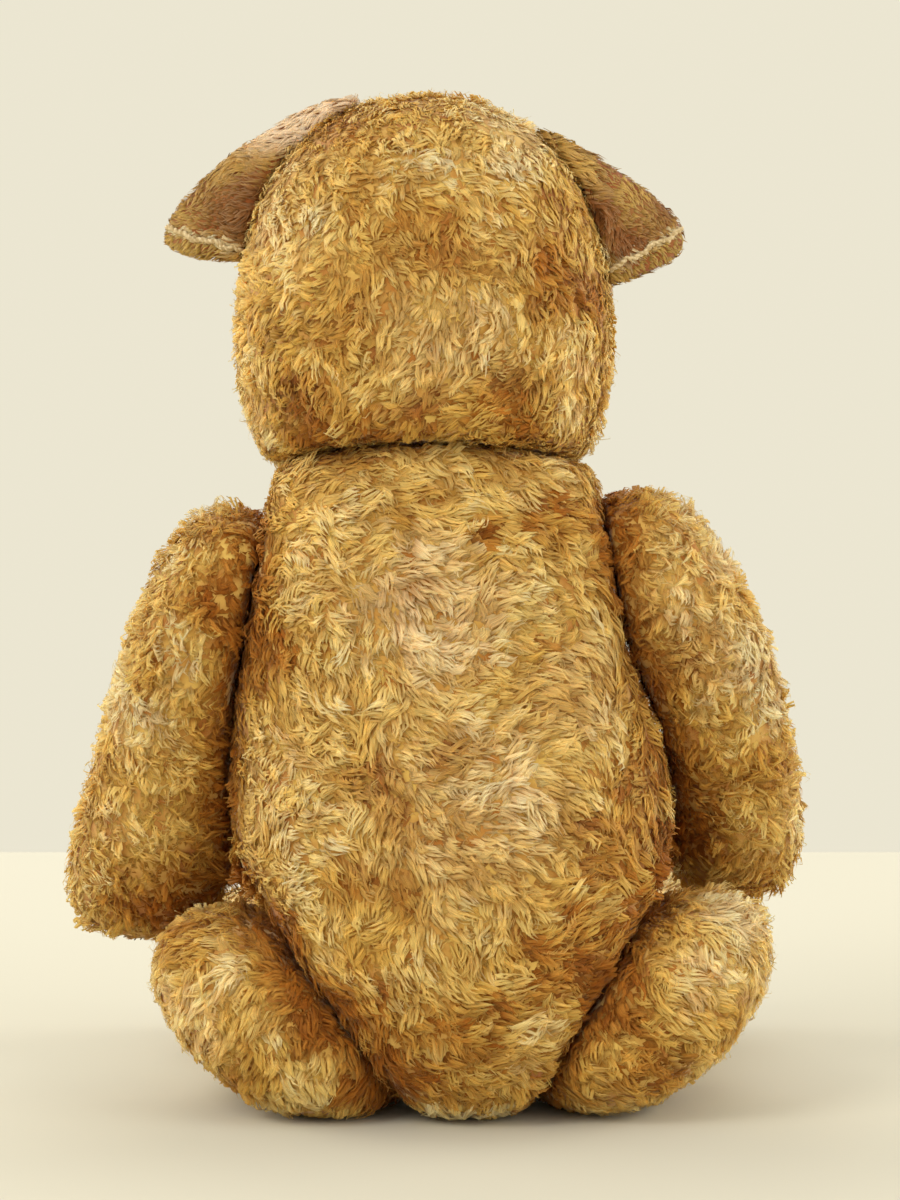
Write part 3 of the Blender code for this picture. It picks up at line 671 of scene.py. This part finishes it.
# Silvery and golden places: X, Z, radius, strength.
ROSY = (
    (0.020, 0.251, 0.034, 0.50), (0.008, 0.158, 0.052, 0.35), (-0.050, 0.213, 0.024, 0.35),
    (0.012, 0.383, 0.034, 0.30), (0.078, 0.471, 0.015, 0.30), (-0.098, 0.240, 0.030, 0.30),
)
GOLDEN = (
    (0.100, 0.400, 0.040, 0.60), (0.100, 0.350, 0.020, 0.50), (-0.052, 0.365, 0.030, 0.50),
    (0.080, 0.285, 0.024, 0.45), (0.098, 0.180, 0.026, 0.40), (-0.140, 0.150, 0.026, 0.45),
    (0.172, 0.150, 0.030, 0.45), (0.120, 0.045, 0.040, 0.40), (-0.100, 0.060, 0.030, 0.40),
)
# Slits between arm, body and leg that the pile closes, darkened with painted shade: X, Z, radius.
SLITS = ((0.1140, 0.1130, 0.018), (-0.0960, 0.1190, 0.016))


def patch_share(root, x, z, radius):
    """1 in the middle of a patch to 0 outside, with a ragged edge."""
    away = np.hypot(root[:, 0] - x, root[:, 2] - z) / radius
    edge = 1 + 0.45 * noise(root, 0.011, 15) + 0.2 * noise(root, 0.005, 17)
    return 1 - smooth_step(away * edge, 0.5, 1.3)


def slit_share(root):
    """1 round a slit to 0 away from it."""
    share = np.zeros(len(root))
    for x, z, radius in SLITS:
        away = np.hypot(root[:, 0] - x, root[:, 2] - z)
        share = np.maximum(share, 1 - smooth_step(away, 0.5 * radius, radius))
    return share


def toned(tone):
    """The mohair's colour for each tone from 0, dark, to 1, pale."""
    marks = np.linspace(0, 1, len(TONES))
    return np.stack([np.interp(tone, marks, TONES[:, k]) for k in range(3)], axis=1)


def pile_colours(part, root, normal, depth, lot_and_relief_shade, near, joint, rng):
    """The colour of each lock's top, root and tip. depth is 1 for the long locks and 0 beneath them."""
    count = len(root)
    tone = BASE_TONE + 0.12 * noise(root, 0.045, 11) + 0.13 * noise(root, 0.018, 12)
    # Each lock's lot: its own tone at random, with painted light on the humps of the pile and painted shade
    # between them.
    tone += 0.09 * noise(root, 0.008, 13) + 0.045 * lot_and_relief_shade
    back = smooth_step(normal[:, 1], -0.1, 0.3)
    # Patches: soiled and faded pile, with painted shade and painted light.
    for x, z, radius, shift in SOIL_AND_LIGHTING_PATCHES:
        tone += PATCH_DEPTH * shift * back * patch_share(root, x, z, radius)
    tone += np.where(back < 0.5, 0.04, 0.0)
    tone -= UNDER_DARKER * (1 - depth)
    # Darker where another part covers or meets the pile: partly unfaded and soiled pile, partly painted shade
    # between the parts and in the slits.
    uneven = 1 + 0.5 * noise(root, 0.02, 16)
    reach = 0.030 if part == "body" else 0.038
    soil_and_shade = 0.9 * (1 - smooth_step(joint * uneven, 0.004, reach))
    soil_and_shade = np.maximum(soil_and_shade, 0.5 * (1 - smooth_step(near * uneven, 0.0005, 0.005)))
    soil_and_shade = np.maximum(soil_and_shade, 0.9 * slit_share(root))
    tone = np.clip(tone, LEAST_TONE, 1) * (1 - soil_and_shade) + SOIL_AND_SHADE_TONE * soil_and_shade
    colour = toned(tone)
    bright = colour @ LUMA
    for tint, places in ((ROSE, ROSY), (HONEY, GOLDEN)):
        share = np.zeros(count)
        for x, z, radius, strength in places:
            share = np.maximum(share, strength * back * patch_share(root, x, z, radius))
        share *= 1 - soil_and_shade
        colour = blend_to(colour, tint * (bright / (tint @ LUMA))[:, None], share)
    # The root colour: darker, partly unfaded pile and partly painted shade, made redder to stand in for light
    # bounced between the hairs.
    deep = blend_to(toned(tone - ROOT_DARKER), colour, np.full(count, 0.2)) * (1.08, 0.90, 0.75)
    # Paler tips: partly sun-faded pile and partly painted highlight, paler still on about one lock in eight.
    fade_and_highlight = rng.uniform(0, 0.20, count) + 0.20 * (rng.random(count) < 0.12)
    tip = blend_to(toned(tone + fade_and_highlight * (1 - soil_and_shade)), colour, np.full(count, 0.25))
    return colour, deep, tip


# ---------------- face and pads


ACROSS, UPRIGHT = np.array((1.0, 0.0, 0.0)), np.array((0.0, 0.0, 1.0))
COVERED = []  # pieces that the pile leaves bare: part, middle, outward, (axis, half size) twice


def covered(part, root):
    """True where a root lies under a pad, an eye or the nose, or at the mouth."""
    found = np.zeros(len(root), bool)
    for owner, middle, outward, (along, long), (across, wide) in COVERED:
        if owner != part:
            continue
        away = root - middle
        round_it = np.hypot(away @ along / long, away @ across / wide)
        found |= (round_it < 1.0) & (np.abs(away @ outward) < 0.010)
    return found


def tube(path, radius, sides):
    """(points, faces) of a round tube along a path, narrowed at its ends."""
    path = np.asarray(path, float)
    count = len(path)
    ahead = np.roll(path, -1, axis=0) - np.roll(path, 1, axis=0)
    ahead[0], ahead[-1] = path[1] - path[0], path[-1] - path[-2]
    ahead = unit(ahead)
    side = np.cross(ahead[0], (0.31, 0.17, 0.93))  # any direction off the path's own
    radii = np.full(count, radius)
    radii[0] = radii[-1] = radius * 0.55
    turn = np.arange(sides) * 2 * math.pi / sides
    rings = []
    for i in range(count):
        side = side - ahead[i] * np.dot(side, ahead[i])
        side = side / np.linalg.norm(side)
        up = np.cross(ahead[i], side)
        rings.append(path[i] + radii[i] * (np.outer(np.cos(turn), side) + np.outer(np.sin(turn), up)))
    around = [(k, (k + 1) % sides) for k in range(sides)]
    faces = []
    for first in range(0, (count - 1) * sides, sides):
        faces += [(first + k, first + m, first + sides + m, first + sides + k) for k, m in around]
    faces.append(tuple(range(sides - 1, -1, -1)))
    faces.append(tuple(range((count - 1) * sides, count * sides)))
    return np.concatenate(rings), faces


def ringed(rings, steps):
    """Faces of rings of points that lie between one pole, the first point, and another, the last."""
    around = [(k, (k + 1) % steps) for k in range(steps)]
    last = 1 + (rings - 1) * steps
    faces = [(0, 1 + k, 1 + m) for k, m in around]
    for first in range(1, last, steps):
        faces += [(first + k, first + steps + k, first + steps + m, first + m) for k, m in around]
    return faces + [(last + steps, last + m, last + k) for k, m in around]


def mesh_of(shells):
    """One mesh of several (points, faces)."""
    points, faces, start = [], [], 0
    for shell_points, shell_faces in shells:
        points.extend(map(tuple, shell_points))
        faces.extend(tuple(start + k for k in face) for face in shell_faces)
        start += len(shell_points)
    mesh = bpy.data.meshes.new("shells")
    mesh.from_pydata(points, [], faces)
    mesh.validate()
    mesh.shade_smooth()
    return mesh


def points_of(node):
    return vectors_of(NODES[node].data.vertices, "co")


def flat_frame(node, away_from):
    """(middle, outward, along, across, half length, half width, half thickness) of a flat node."""
    points = points_of(node)
    middle = points.mean(0)
    _, _, axes = np.linalg.svd(points - middle)
    along, across, outward = axes
    if np.dot(outward, middle - away_from) < 0:
        outward = -outward
    across = np.cross(outward, along)
    axes = (along, across, outward)
    spans = [(points - middle) @ axis for axis in axes]
    middle = middle + sum(axis * (span.max() + span.min()) / 2 for axis, span in zip(axes, spans))
    return middle, outward, along, across, *[(span.max() - span.min()) / 2 for span in spans]


# The section of a pad from its middle outwards: share of its radius, height over half its thickness.
PAD_PROFILE = (
    (0.20, 1.0), (0.45, 0.97), (0.68, 0.88), (0.84, 0.70), (0.93, 0.40), (0.985, 0.05), (1.0, -0.45),
    (0.975, -0.95), (0.60, -1.0),
)
PAD_STEPS = 56
PAD_CROWN = 1.9  # the pad's middle stands this many half thicknesses up


def pad_mesh(shape, seed):
    """A hand-cut felt pad: crowned, soft at the edge, and turned under where it is sewn."""
    middle, outward, along, across, long, wide, thick = shape
    rng = np.random.default_rng(seed)
    turn = np.arange(PAD_STEPS) * 2 * math.pi / PAD_STEPS
    cut = 1 + 0.012 * np.sin(3 * turn + rng.uniform(0, 6)) + 0.010 * np.sin(7 * turn + rng.uniform(0, 6))
    points = [middle + outward * thick * PAD_CROWN]
    for share, lift in PAD_PROFILE:
        for k in range(PAD_STEPS):
            u, v = long * math.cos(turn[k]) * cut[k] * share, wide * math.sin(turn[k]) * cut[k] * share
            dent = 0.0002 * math.sin(190 * u + 3) * math.cos(230 * v + 1) * (lift > 0)
            rise = thick * (PAD_CROWN * lift if lift > 0 else lift) + dent
            points.append(middle + along * u + across * v + outward * rise)
    points.append(middle - outward * thick)
    return mesh_of([(points, ringed(len(PAD_PROFILE), PAD_STEPS))])


STITCH_PITCH, STITCH_RADIUS, STITCH_LEAN = 0.0034, 0.00036, 0.10
# Along a stitch: share of the pad's radius, height over half the pad's thickness, share of the lean.
STITCH = ((0.86, 0.9, 0), (0.90, 1.75, 0.3), (0.98, 1.1, 0.65), (1.045, 0.1, 1.0))


def pad_stitches(shape, seed):
    """Short overcast stitches of brown thread round a pad."""
    middle, outward, along, across, long, wide, thick = shape
    rng = np.random.default_rng(seed)
    count = int(math.pi * (long + wide) / STITCH_PITCH)
    shells = []
    for k in range(count):
        turn = 2 * math.pi * (k + rng.uniform(-0.12, 0.12)) / count
        path = []
        for share, lift, slip in STITCH:
            at = turn + STITCH_LEAN * slip
            u, v = long * math.cos(at) * share, wide * math.sin(at) * share
            path.append(middle + along * u + across * v + outward * thick * lift)
        shells.append(tube(path, STITCH_RADIUS, 6))
    return mesh_of(shells)


for hand in SIDES:
    for part, pad in (("arm", "paw"), ("leg", "foot")):
        limb, node = f"{hand}_{part}", f"{hand}_{pad}_pad"
        centre = vectors_of(skins[limb].data.vertices, "co").mean(0)
        shape = flat_frame(node, centre)
        seed = len(COVERED) + 60
        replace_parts(add_piece(node + "_felt", pad_mesh(shape, seed), limb, FELT), node)
        add_piece(node + "_stitches", pad_stitches(shape, seed), limb, THREAD)
        middle, outward, along, across, long, wide, _ = shape
        COVERED.append((limb, middle, outward, (along, long * 0.97), (across, wide * 0.97)))


def on_head(x, z):
    """(point, normal) of the front of the head's skin."""
    place, normal, _, _ = trees["head"].ray_cast(Vector((x, -0.4, z)), Vector((0, 1, 0)))
    return np.array(place), np.array(normal)


def seated(node):
    """(points of the node, their low and high corners, place and normal of the head's skin behind it)."""
    points = points_of(node)
    low, high = points.min(0), points.max(0)
    return points, low, high, *on_head((low[0] + high[0]) / 2, (low[2] + high[2]) / 2)


def domed_button(node):
    """A turned boot button: a high dome over a narrow rim."""
    points, low, high, place, outward = seated(node)
    side = unit(np.cross(UPRIGHT, outward)[None])[0]
    up = np.cross(outward, side)
    rise = ((points - place) @ outward).max()
    radius = (high[0] - low[0]) / 2 * 1.02
    steps = 40
    profile = []
    for k in range(1, 13):
        turn = k / 12 * math.pi / 2
        profile.append((radius * math.sin(turn) ** 0.94, rise * math.cos(turn)))
    profile += [(radius * 1.03, -0.0006), (radius * 1.0, -0.0016), (radius * 0.6, -0.0020)]
    shell = [place + outward * rise]
    for across, height in profile:
        for k in range(steps):
            turn = 2 * math.pi * k / steps
            flat = side * math.cos(turn) + up * math.sin(turn)
            shell.append(place + flat * across + outward * height)
    shell.append(place - outward * 0.0020)
    COVERED.append(("head", place, outward, (side, radius * 0.92), (up, radius * 0.92)))
    return mesh_of([(shell, ringed(len(profile), steps))])


for hand in SIDES:
    node = hand + "_eye"
    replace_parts(add_piece(node + "_button", domed_button(node), "head", BUTTON), node)

NOSE_STITCHES, NOSE_RADIUS = 23, 0.00078


def stitched_nose():
    """Satin stitches of dark wool, side by side over the end of the muzzle."""
    points, _, _, place, outward = seated("nose")
    side = ACROSS
    outward = unit((outward - side * outward[0])[None])[0]
    up = np.cross(side, outward)
    up = up if up[2] > 0 else -up
    local = points - place
    wide, tall = np.abs(local @ side).max(), np.abs(local @ up).max()
    rise = (local @ outward).max()
    rng = np.random.default_rng(70)
    shells = []
    for k in range(NOSE_STITCHES):
        x = wide * 0.97 * (2 * k / (NOSE_STITCHES - 1) - 1)
        reach = tall * math.sqrt(max(0.10, 1 - (x / wide) ** 2)) * rng.uniform(0.95, 1.05)
        path = []
        for step in range(11):
            share = math.cos(math.pi * step / 10)
            height = rise * math.sqrt(max(0.0, 1 - (x / wide) ** 2)) * math.sqrt(max(0.0, 1 - share**2))
            drop = 0.12 * x * (share - 1) * 0.5
            path.append(place + side * (x + drop) + up * reach * share + outward * (height - 0.0003))
        shells.append(tube(path, NOSE_RADIUS, 7))
    COVERED.append(("head", place, outward, (side, wide * 0.95), (up, tall * 0.95)))
    return mesh_of(shells)


def twisted(path, spread, radius, pitch):
    """The two plies of a twisted yarn along a path of points and normals."""
    places = np.array([p for p, _ in path])
    ahead = unit(np.gradient(places, axis=0))
    gone = np.concatenate([[0], np.cumsum(np.linalg.norm(np.diff(places, axis=0), axis=1))])
    plies = []
    for ply in (0, math.pi):
        track = []
        for (place, normal), forward, far in zip(path, ahead, gone):
            side = np.cross(forward, normal)
            turn = 2 * math.pi * far / pitch + ply
            track.append(place + spread * (math.cos(turn) * normal + math.sin(turn) * side))
        plies.append(tube(track, radius, 7))
    return plies


MOUTH_TWIST = (0.00048, 0.00062, 0.0034)  # spread of the plies, their radius, length of a turn


def mouth_yarn():
    """The mouth: a low arch of twisted yarn, hung from the nose by one straight stitch."""
    low, high = np.array(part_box("mouth"))
    middle = (low[0] + high[0]) / 2
    half = (high[0] - low[0]) / 2 - 0.0012
    top, drop = high[2] - 0.0012, high[2] - low[2] - 0.0024
    arch = []
    for k in range(57):
        share = 2 * k / 56 - 1
        place, normal = on_head(middle + half * share, top - drop * share**2)
        arch.append((place + normal * 0.0009, normal))
    stem = []
    below_nose = np.array(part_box("nose"))[0][2] + 0.0015
    for k in range(21):
        place, normal = on_head(middle, below_nose + (top - 0.0002 - below_nose) * k / 20)
        stem.append((place + normal * 0.0010, normal))
    for share in (-0.85, -0.5, -0.15, 0.15, 0.5, 0.85):
        place, normal = on_head(middle + half * share, top - drop * share**2)
        COVERED.append(("head", place, normal, (ACROSS, half * 0.24), (np.cross(normal, ACROSS), 0.0026)))
    place, normal = on_head(middle, (below_nose + top) / 2)
    COVERED.append(("head", place, normal, (ACROSS, 0.0024), (UPRIGHT, 0.008)))
    return mesh_of(twisted(arch, *MOUTH_TWIST) + twisted(stem, *MOUTH_TWIST))


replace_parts(add_piece("nose_stitches", stitched_nose(), "head", YARN), "nose")
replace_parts(add_piece("mouth_yarn", mouth_yarn(), "head", YARN), "mouth")

# ---------------- growing the pile


# The way each part's pile is combed, the right side's as the left's in a mirror.
FLOW = {"body": (-0.9, 0.0, -0.4), "head": (0.25, 0.0, -0.9)}
for part, (x, y, z) in {"arm": (0.2, 0.0, -1.0), "leg": (0.4, -0.2, -0.8), "ear": (1.0, -0.2, -0.6)}.items():
    FLOW["left_" + part] = (x, y, z)
    FLOW["right_" + part] = (-x, y, z)


def surface_flow(part, place, normal, seed, settings):
    """The way the pile lies at each place: a main direction turned by broad swirls."""
    base = np.tile(np.array(FLOW[part], float), (len(place), 1))
    base = unit(base - normal * np.sum(base * normal, axis=1, keepdims=True) + 1e-6)
    swirl = 1.5 * noise(place, 0.060, seed % 100 + 21) + 1.1 * noise(place, 0.026, seed % 100 + 22)
    ripple = noise(place, 0.011, seed % 100 + 27)
    return turned(base, normal, swirl * settings["swirl"] + ripple * settings["ripple"])


def grown_locks(part, seed, settings):
    """The locks of one part: where they lie, how they curl and what colour they are."""
    rng = np.random.default_rng(seed)
    mesh = skins[part].data
    heart, normal = scattered(mesh, settings["spacing"], rng)
    along = surface_flow(part, heart, normal, seed, settings)
    along = turned(along, normal, rng.normal(0, settings["tousle"], len(heart)))
    beside, neck = neighbours(part)
    joint = distance_to(beside, heart)
    near = np.minimum(joint, distance_to(neck, heart))
    short = settings["short"](part, heart) if "short" in settings else np.ones(len(heart))
    length = settings["length"] * short * rng.uniform(0.8, 1.25, len(heart))
    length *= (0.65 + 0.35 * smooth_step(near, 0.001, 0.008)) * (1 + 0.25 * noise(heart, 0.02, seed + 23))
    # Sparse in the joints and under the seat, and none under the pads, eyes, nose and mouth.
    keep = rng.random(len(heart)) < 0.45 + 0.55 * smooth_step(near, 0.0015, 0.005)
    keep &= ~((heart[:, 2] < 0.0015) & (rng.random(len(heart)) < 0.8))
    for share in (-0.25, 0.0, 0.25, 0.5):
        keep &= ~covered(part, heart + along * (share * length)[:, None])
    heart, normal, along, length, short, near, joint = (
        values[keep] for values in (heart, normal, along, length, short, near, joint)
    )
    count = len(heart)
    across = np.cross(normal, along)
    low = smooth_step(heart[:, 2], 0.0, 0.012)
    height = settings["height"] * np.sqrt(short) * (0.3 + 0.7 * low) * rng.uniform(0.85, 1.15, count)
    hump = noise(heart, 0.011, seed % 100 + 28)
    height *= 1 + 0.8 * hump
    # Painted light and shade: the humps that stand higher are lighter and the hollows between them darker,
    # over a random tone for each lock.
    lot_and_relief_shade = rng.normal(0, 0.8, count) + 3.0 * hump
    colour, deep, tip = settings["colours"](part, heart, normal, settings["depth"], lot_and_relief_shade, near, joint, rng)
    locks = {key: settings[key] for key in ("overlap", "creased", "gather", "stray", "spill")}
    locks.update(heart=heart, normal=normal, along=along, length=length, colour=colour, deep=deep, tip=tip)
    locks["falls"] = falls_of(trees[part], heart, normal, along, across, 0.6 * length)
    locks["height"] = np.minimum(height * (1 + 2 * slit_share(heart)), 0.0006 + 0.45 * near)
    locks["half_width"] = settings["half_width"] * np.sqrt(short) * rng.uniform(0.8, 1.25, count)
    locks["guard"] = (trees[part], settings["guard"]) if settings["guard"] else None
    locks["curl"] = settings["curl"] * (1 + 0.5 * noise(heart, 0.03, seed + 24))
    locks["phase"] = rng.uniform(0, 2 * math.pi, count)
    sway = noise(heart, 0.013, seed + 26) + rng.normal(0, settings["loose"], count)
    locks["bend"] = settings["bend"] * sway
    return rng, locks


def grow_pile(part, label, seed, settings):
    """The locks of one part, split into pieces that stay under the limit on triangles."""
    rng, locks = grown_locks(part, seed, settings)
    count = len(locks["heart"])
    order = np.argsort(locks["heart"][:, 2])
    strands, segments = settings["strands"], settings["segments"]
    pieces = math.ceil(count * strands * (2 * segments - 1) / MOST_TRIANGLES)
    for i in range(pieces):
        chosen = order[i * count // pieces : (i + 1) * count // pieces]
        some = {key: v[chosen] if isinstance(v, np.ndarray) else v for key, v in locks.items()}
        mesh = lock_mesh(some, strands, segments, rng)
        add_piece(f"{part}_{label}_{i + 1}", mesh, RIDES[part], settings["material"])


# The seam across the back of each drooping ear, as X and Z from its tip to the head.
EAR_HEMS = {
    "left_ear": ((0.1485, 0.4325), (0.1220, 0.4245), (0.1100, 0.4215)),
    "right_ear": ((-0.1060, 0.4335), (-0.0878, 0.4235), (-0.0680, 0.4125)),
}


def above_hem(part, root):
    """Height of each point above the seam that hems the ear's drooping rim."""
    x, z = np.array(sorted(EAR_HEMS[part])).T
    return root[:, 2] - np.interp(root[:, 0], x, z)


def ear_colours(part, root, normal, depth, lot_and_relief_shade, near, joint, rng):
    """As pile_colours: short brown plush, reddish in one place, and faded on the fold and along the hem."""
    broad = noise(root, 0.018, 31) + 0.4 * noise(root, 0.007, 32) + 0.15 * rng.normal(0, 1, len(root))
    above = above_hem(part, root)
    back = normal[:, 1] > -0.15
    colour = np.tile(EAR_BROWN, (len(root), 1))
    # Golden well above the hem and in patches, with dark blotches nearer to it.
    colour = blend_to(colour, TAN * 0.85, 0.25 + 0.45 * broad + 0.25 * smooth_step(above, 0.012, 0.035))
    colour = blend_to(colour, UMBER * 1.6, 0.75 * smooth_step(-broad, 0.0, 0.7) * (above < 0.035))
    if part == "left_ear":
        reddish = 1 - smooth_step(np.hypot(root[:, 0] - 0.112, root[:, 2] - 0.440), 0.008, 0.022)
        colour = blend_to(colour, RUSSET, 0.8 * reddish)
        colour = blend_to(colour, SILKY, smooth_step(root[:, 2], 0.462, 0.480))
    turned_under = (1 - smooth_step(above, -0.003, 0.0)) * back
    colour = blend_to(colour, TAN * 0.75, 0.8 * turned_under)
    colour = blend_to(colour, PALE, 0.75 * back * (1 - smooth_step(np.abs(above - 0.001), 0.0008, 0.003)))
    dark = (0.45 + 0.45 * smooth_step(colour[:, 1], 0.3, 0.8))[:, None]
    return colour, colour * dark, blend_to(colour * 1.15, PALE, np.full(len(root), 0.25))


def ear_lengths(part, root):
    """The ear's pile is short but for where it runs into the pile of the head."""
    close = 1 - smooth_step(distance_to(["head"], root), 0.002, 0.020)
    if part == "left_ear":
        close = np.maximum(close, smooth_step(root[:, 2], 0.445, 0.465))
    return 1 + 1.1 * close


def head_lengths(part, root):
    """The pile of the muzzle is worn short."""
    return 1 - 0.5 * smooth_step(-root[:, 1], 0.080, 0.115)


HEM_TWIST = (0.0006, 0.0009, 0.0060)


def hem_yarn(ear):
    """The rolled edge along the seam where the ear's drooping rim is turned under."""
    corners = np.array(EAR_HEMS[ear])
    path = []
    for share in np.linspace(0, 1, 70):
        x, z = (np.interp(share, (0, 0.5, 1), values) for values in corners.T)
        z += 0.0009 * math.sin(17 * share) + 0.0005 * math.sin(41 * share)
        hit, facing, _, _ = trees[ear].ray_cast(Vector((x, 0.4, z)), Vector((0, -1, 0)))
        if hit is not None:
            path.append((np.array(hit) + 0.0009 * np.array(facing), np.array(facing)))
    return mesh_of(twisted(path, *HEM_TWIST))


for ear in EARS:
    add_piece(f"{ear}_hem", hem_yarn(ear), "head", HEM)

# Lengths in metres, bends and curls in radians, shares for the rest.
LOCKS = {
    "spacing": 0.0052,
    "strands": 11,
    "segments": 3,
    "length": 0.0128,
    "height": 0.0032,
    "half_width": 0.0033,
    "overlap": 2.1,  # width of a strand over its share of the lock
    "gather": 0.35,  # how far a lock narrows to its tip
    "stray": 0.35,  # share of strands that stand outside their lock
    "spill": 0.13,  # how unevenly the strands start
    "curl": 0.5,
    "bend": 1.8,
    "loose": 0.3,  # how far bends differ from one lock to the next
    "swirl": 0.9,  # how far broad noise turns the way the pile lies
    "ripple": 1.0,  # how far fine noise does
    "creased": 1.0,  # strength of the creases between clumps
    "guard": None,  # how far hair may stand off the skin at most
    "tousle": 0.16,  # how far each lock turns by itself
    "depth": 1.0,  # 1 for the long locks to 0 beneath them
    "material": PILE,
    "colours": pile_colours,
}
HEAD_LOCKS = dict(
    LOCKS, spacing=0.0047, strands=9, length=0.0102, height=0.0030, half_width=0.0028, bend=2.8,
    tousle=0.25, ripple=0.9, stray=0.40, spill=0.14, short=head_lengths,
)
ARM_LOCKS = dict(
    LOCKS, spacing=0.0045, strands=9, length=0.0092, height=0.0044, half_width=0.0026, bend=5.0,
    tousle=0.55, swirl=1.4, ripple=2.0, loose=0.5, spill=0.16, curl=0.7,
)
UNDER = dict(
    LOCKS, spacing=0.0043, strands=3, segments=2, length=0.0085, height=0.0010, half_width=0.0030,
    overlap=1.9, gather=0.3, bend=1.0, tousle=0.3, depth=0.0,
)
HEAD_UNDER = dict(UNDER, short=head_lengths)
FUZZ = dict(
    LOCKS, spacing=0.0065, strands=2, length=0.0080, height=0.0046, half_width=0.0012,
    overlap=0.42, gather=0.0, curl=0.9, bend=5.0, tousle=1.2, depth=1.3,
)
EAR_LOCKS = dict(
    LOCKS, spacing=0.0026, strands=5, segments=2, length=0.0058, height=0.0016, half_width=0.0017,
    overlap=1.6, gather=0.3, curl=0.1, bend=0.6, swirl=0.4, creased=0.4, guard=0.0028, tousle=0.2,
    material=EAR_PILE, colours=ear_colours, short=ear_lengths,
)
COATS = (
    ("body", LOCKS, UNDER),
    ("head", HEAD_LOCKS, HEAD_UNDER),
    ("left_arm", ARM_LOCKS, UNDER),
    ("right_arm", ARM_LOCKS, UNDER),
    ("left_leg", LOCKS, UNDER),
    ("right_leg", LOCKS, UNDER),
    ("left_ear", EAR_LOCKS, None),
    ("right_ear", EAR_LOCKS, None),
)
for number, (part, over, under) in enumerate(COATS):
    grow_pile(part, "locks", 101 + number, over)
    if under:
        grow_pile(part, "pile", 201 + number, under)
        grow_pile(part, "fuzz", 301 + number, FUZZ)


# ---------------- table, wall, lamps and camera


table_top, _, _ = new_material(
    "table_top", Base_Color=(0.645, 0.608, 0.478, 1), Roughness=0.9, Specular_IOR_Level=0.1
)
table_mesh = bpy.data.meshes.new("table")
TABLE = ((-4, -0.93), (4, -0.93), (4, 5), (-4, 5))  # its corners, in X and Y
table_mesh.from_pydata([(x, y, 0) for x, y in TABLE], [], [(0, 1, 2, 3)])
table_mesh.materials.append(table_top)
add_object("table", table_mesh)


def aimed(name, data, place, target):
    made = add_object(name, data)
    made.location = place
    made.rotation_euler = (Vector(target) - made.location).to_track_quat("-Z", "Y").to_euler()
    return made


SOFT_WHITE = (1.0, 0.99, 0.97)
LAMPS = (  # name, place, size, power, colour
    ("key", (1.8, 1.9, 2.1), 1.4, 37, (1.0, 0.985, 0.96)),
    ("fill", (-2.2, 1.7, 1.2), 1.8, 21, SOFT_WHITE),
    ("far", (0.4, -2.2, 2.0), 1.8, 22, SOFT_WHITE),
    ("left_edge", (2.3, -0.9, 0.9), 1.2, 22, SOFT_WHITE),
    ("right_edge", (-2.3, -0.9, 0.9), 1.2, 24, SOFT_WHITE),
)
for name, place, size, power, colour in LAMPS:
    lamp = bpy.data.lights.new(name, "AREA")
    lamp.shape = "SQUARE"
    lamp.size, lamp.energy, lamp.color = size, power, colour
    aimed(name, lamp, place, (0, 0, 0.25))

# The sky lights the bear, and the plain wall is what the camera and a mirror see of it.
world = bpy.data.worlds.new("studio")
scene.world = world
world.use_nodes = True
sky = world.node_tree
light = sky.nodes["Background"]
set_inputs(light, {"Color": (1.0, 0.985, 0.95, 1), "Strength": 0.80})
wall = add_node(sky, "Background", Color=(0.835, 0.790, 0.640, 1))
rays = add_node(sky, "LightPath")
seen = (rays, "Is Camera Ray")
for ray in ("Is Glossy Ray", "Is Transmission Ray"):
    either = add_node(sky, "Math")
    either.operation = "MAXIMUM"
    wire(*seen, either, 0)
    wire(rays, ray, either, 1)
    seen = (either, "Value")
choice = add_node(sky, "MixShader")
wire(*seen, choice, "Fac")
wire(light, "Background", choice, 1)
wire(wall, "Background", choice, 2)
wire(choice, "Shader", sky.nodes["World Output"], "Surface")

camera = bpy.data.cameras.new("camera")
camera.sensor_fit = "VERTICAL"
camera.sensor_height = 36.0
camera.lens = 122.95
scene.camera = aimed("camera", camera, (0.00976, 2.0, 0.40), (0.00976, 0.0, 0.2513))
scene.view_settings.view_transform = "Standard"
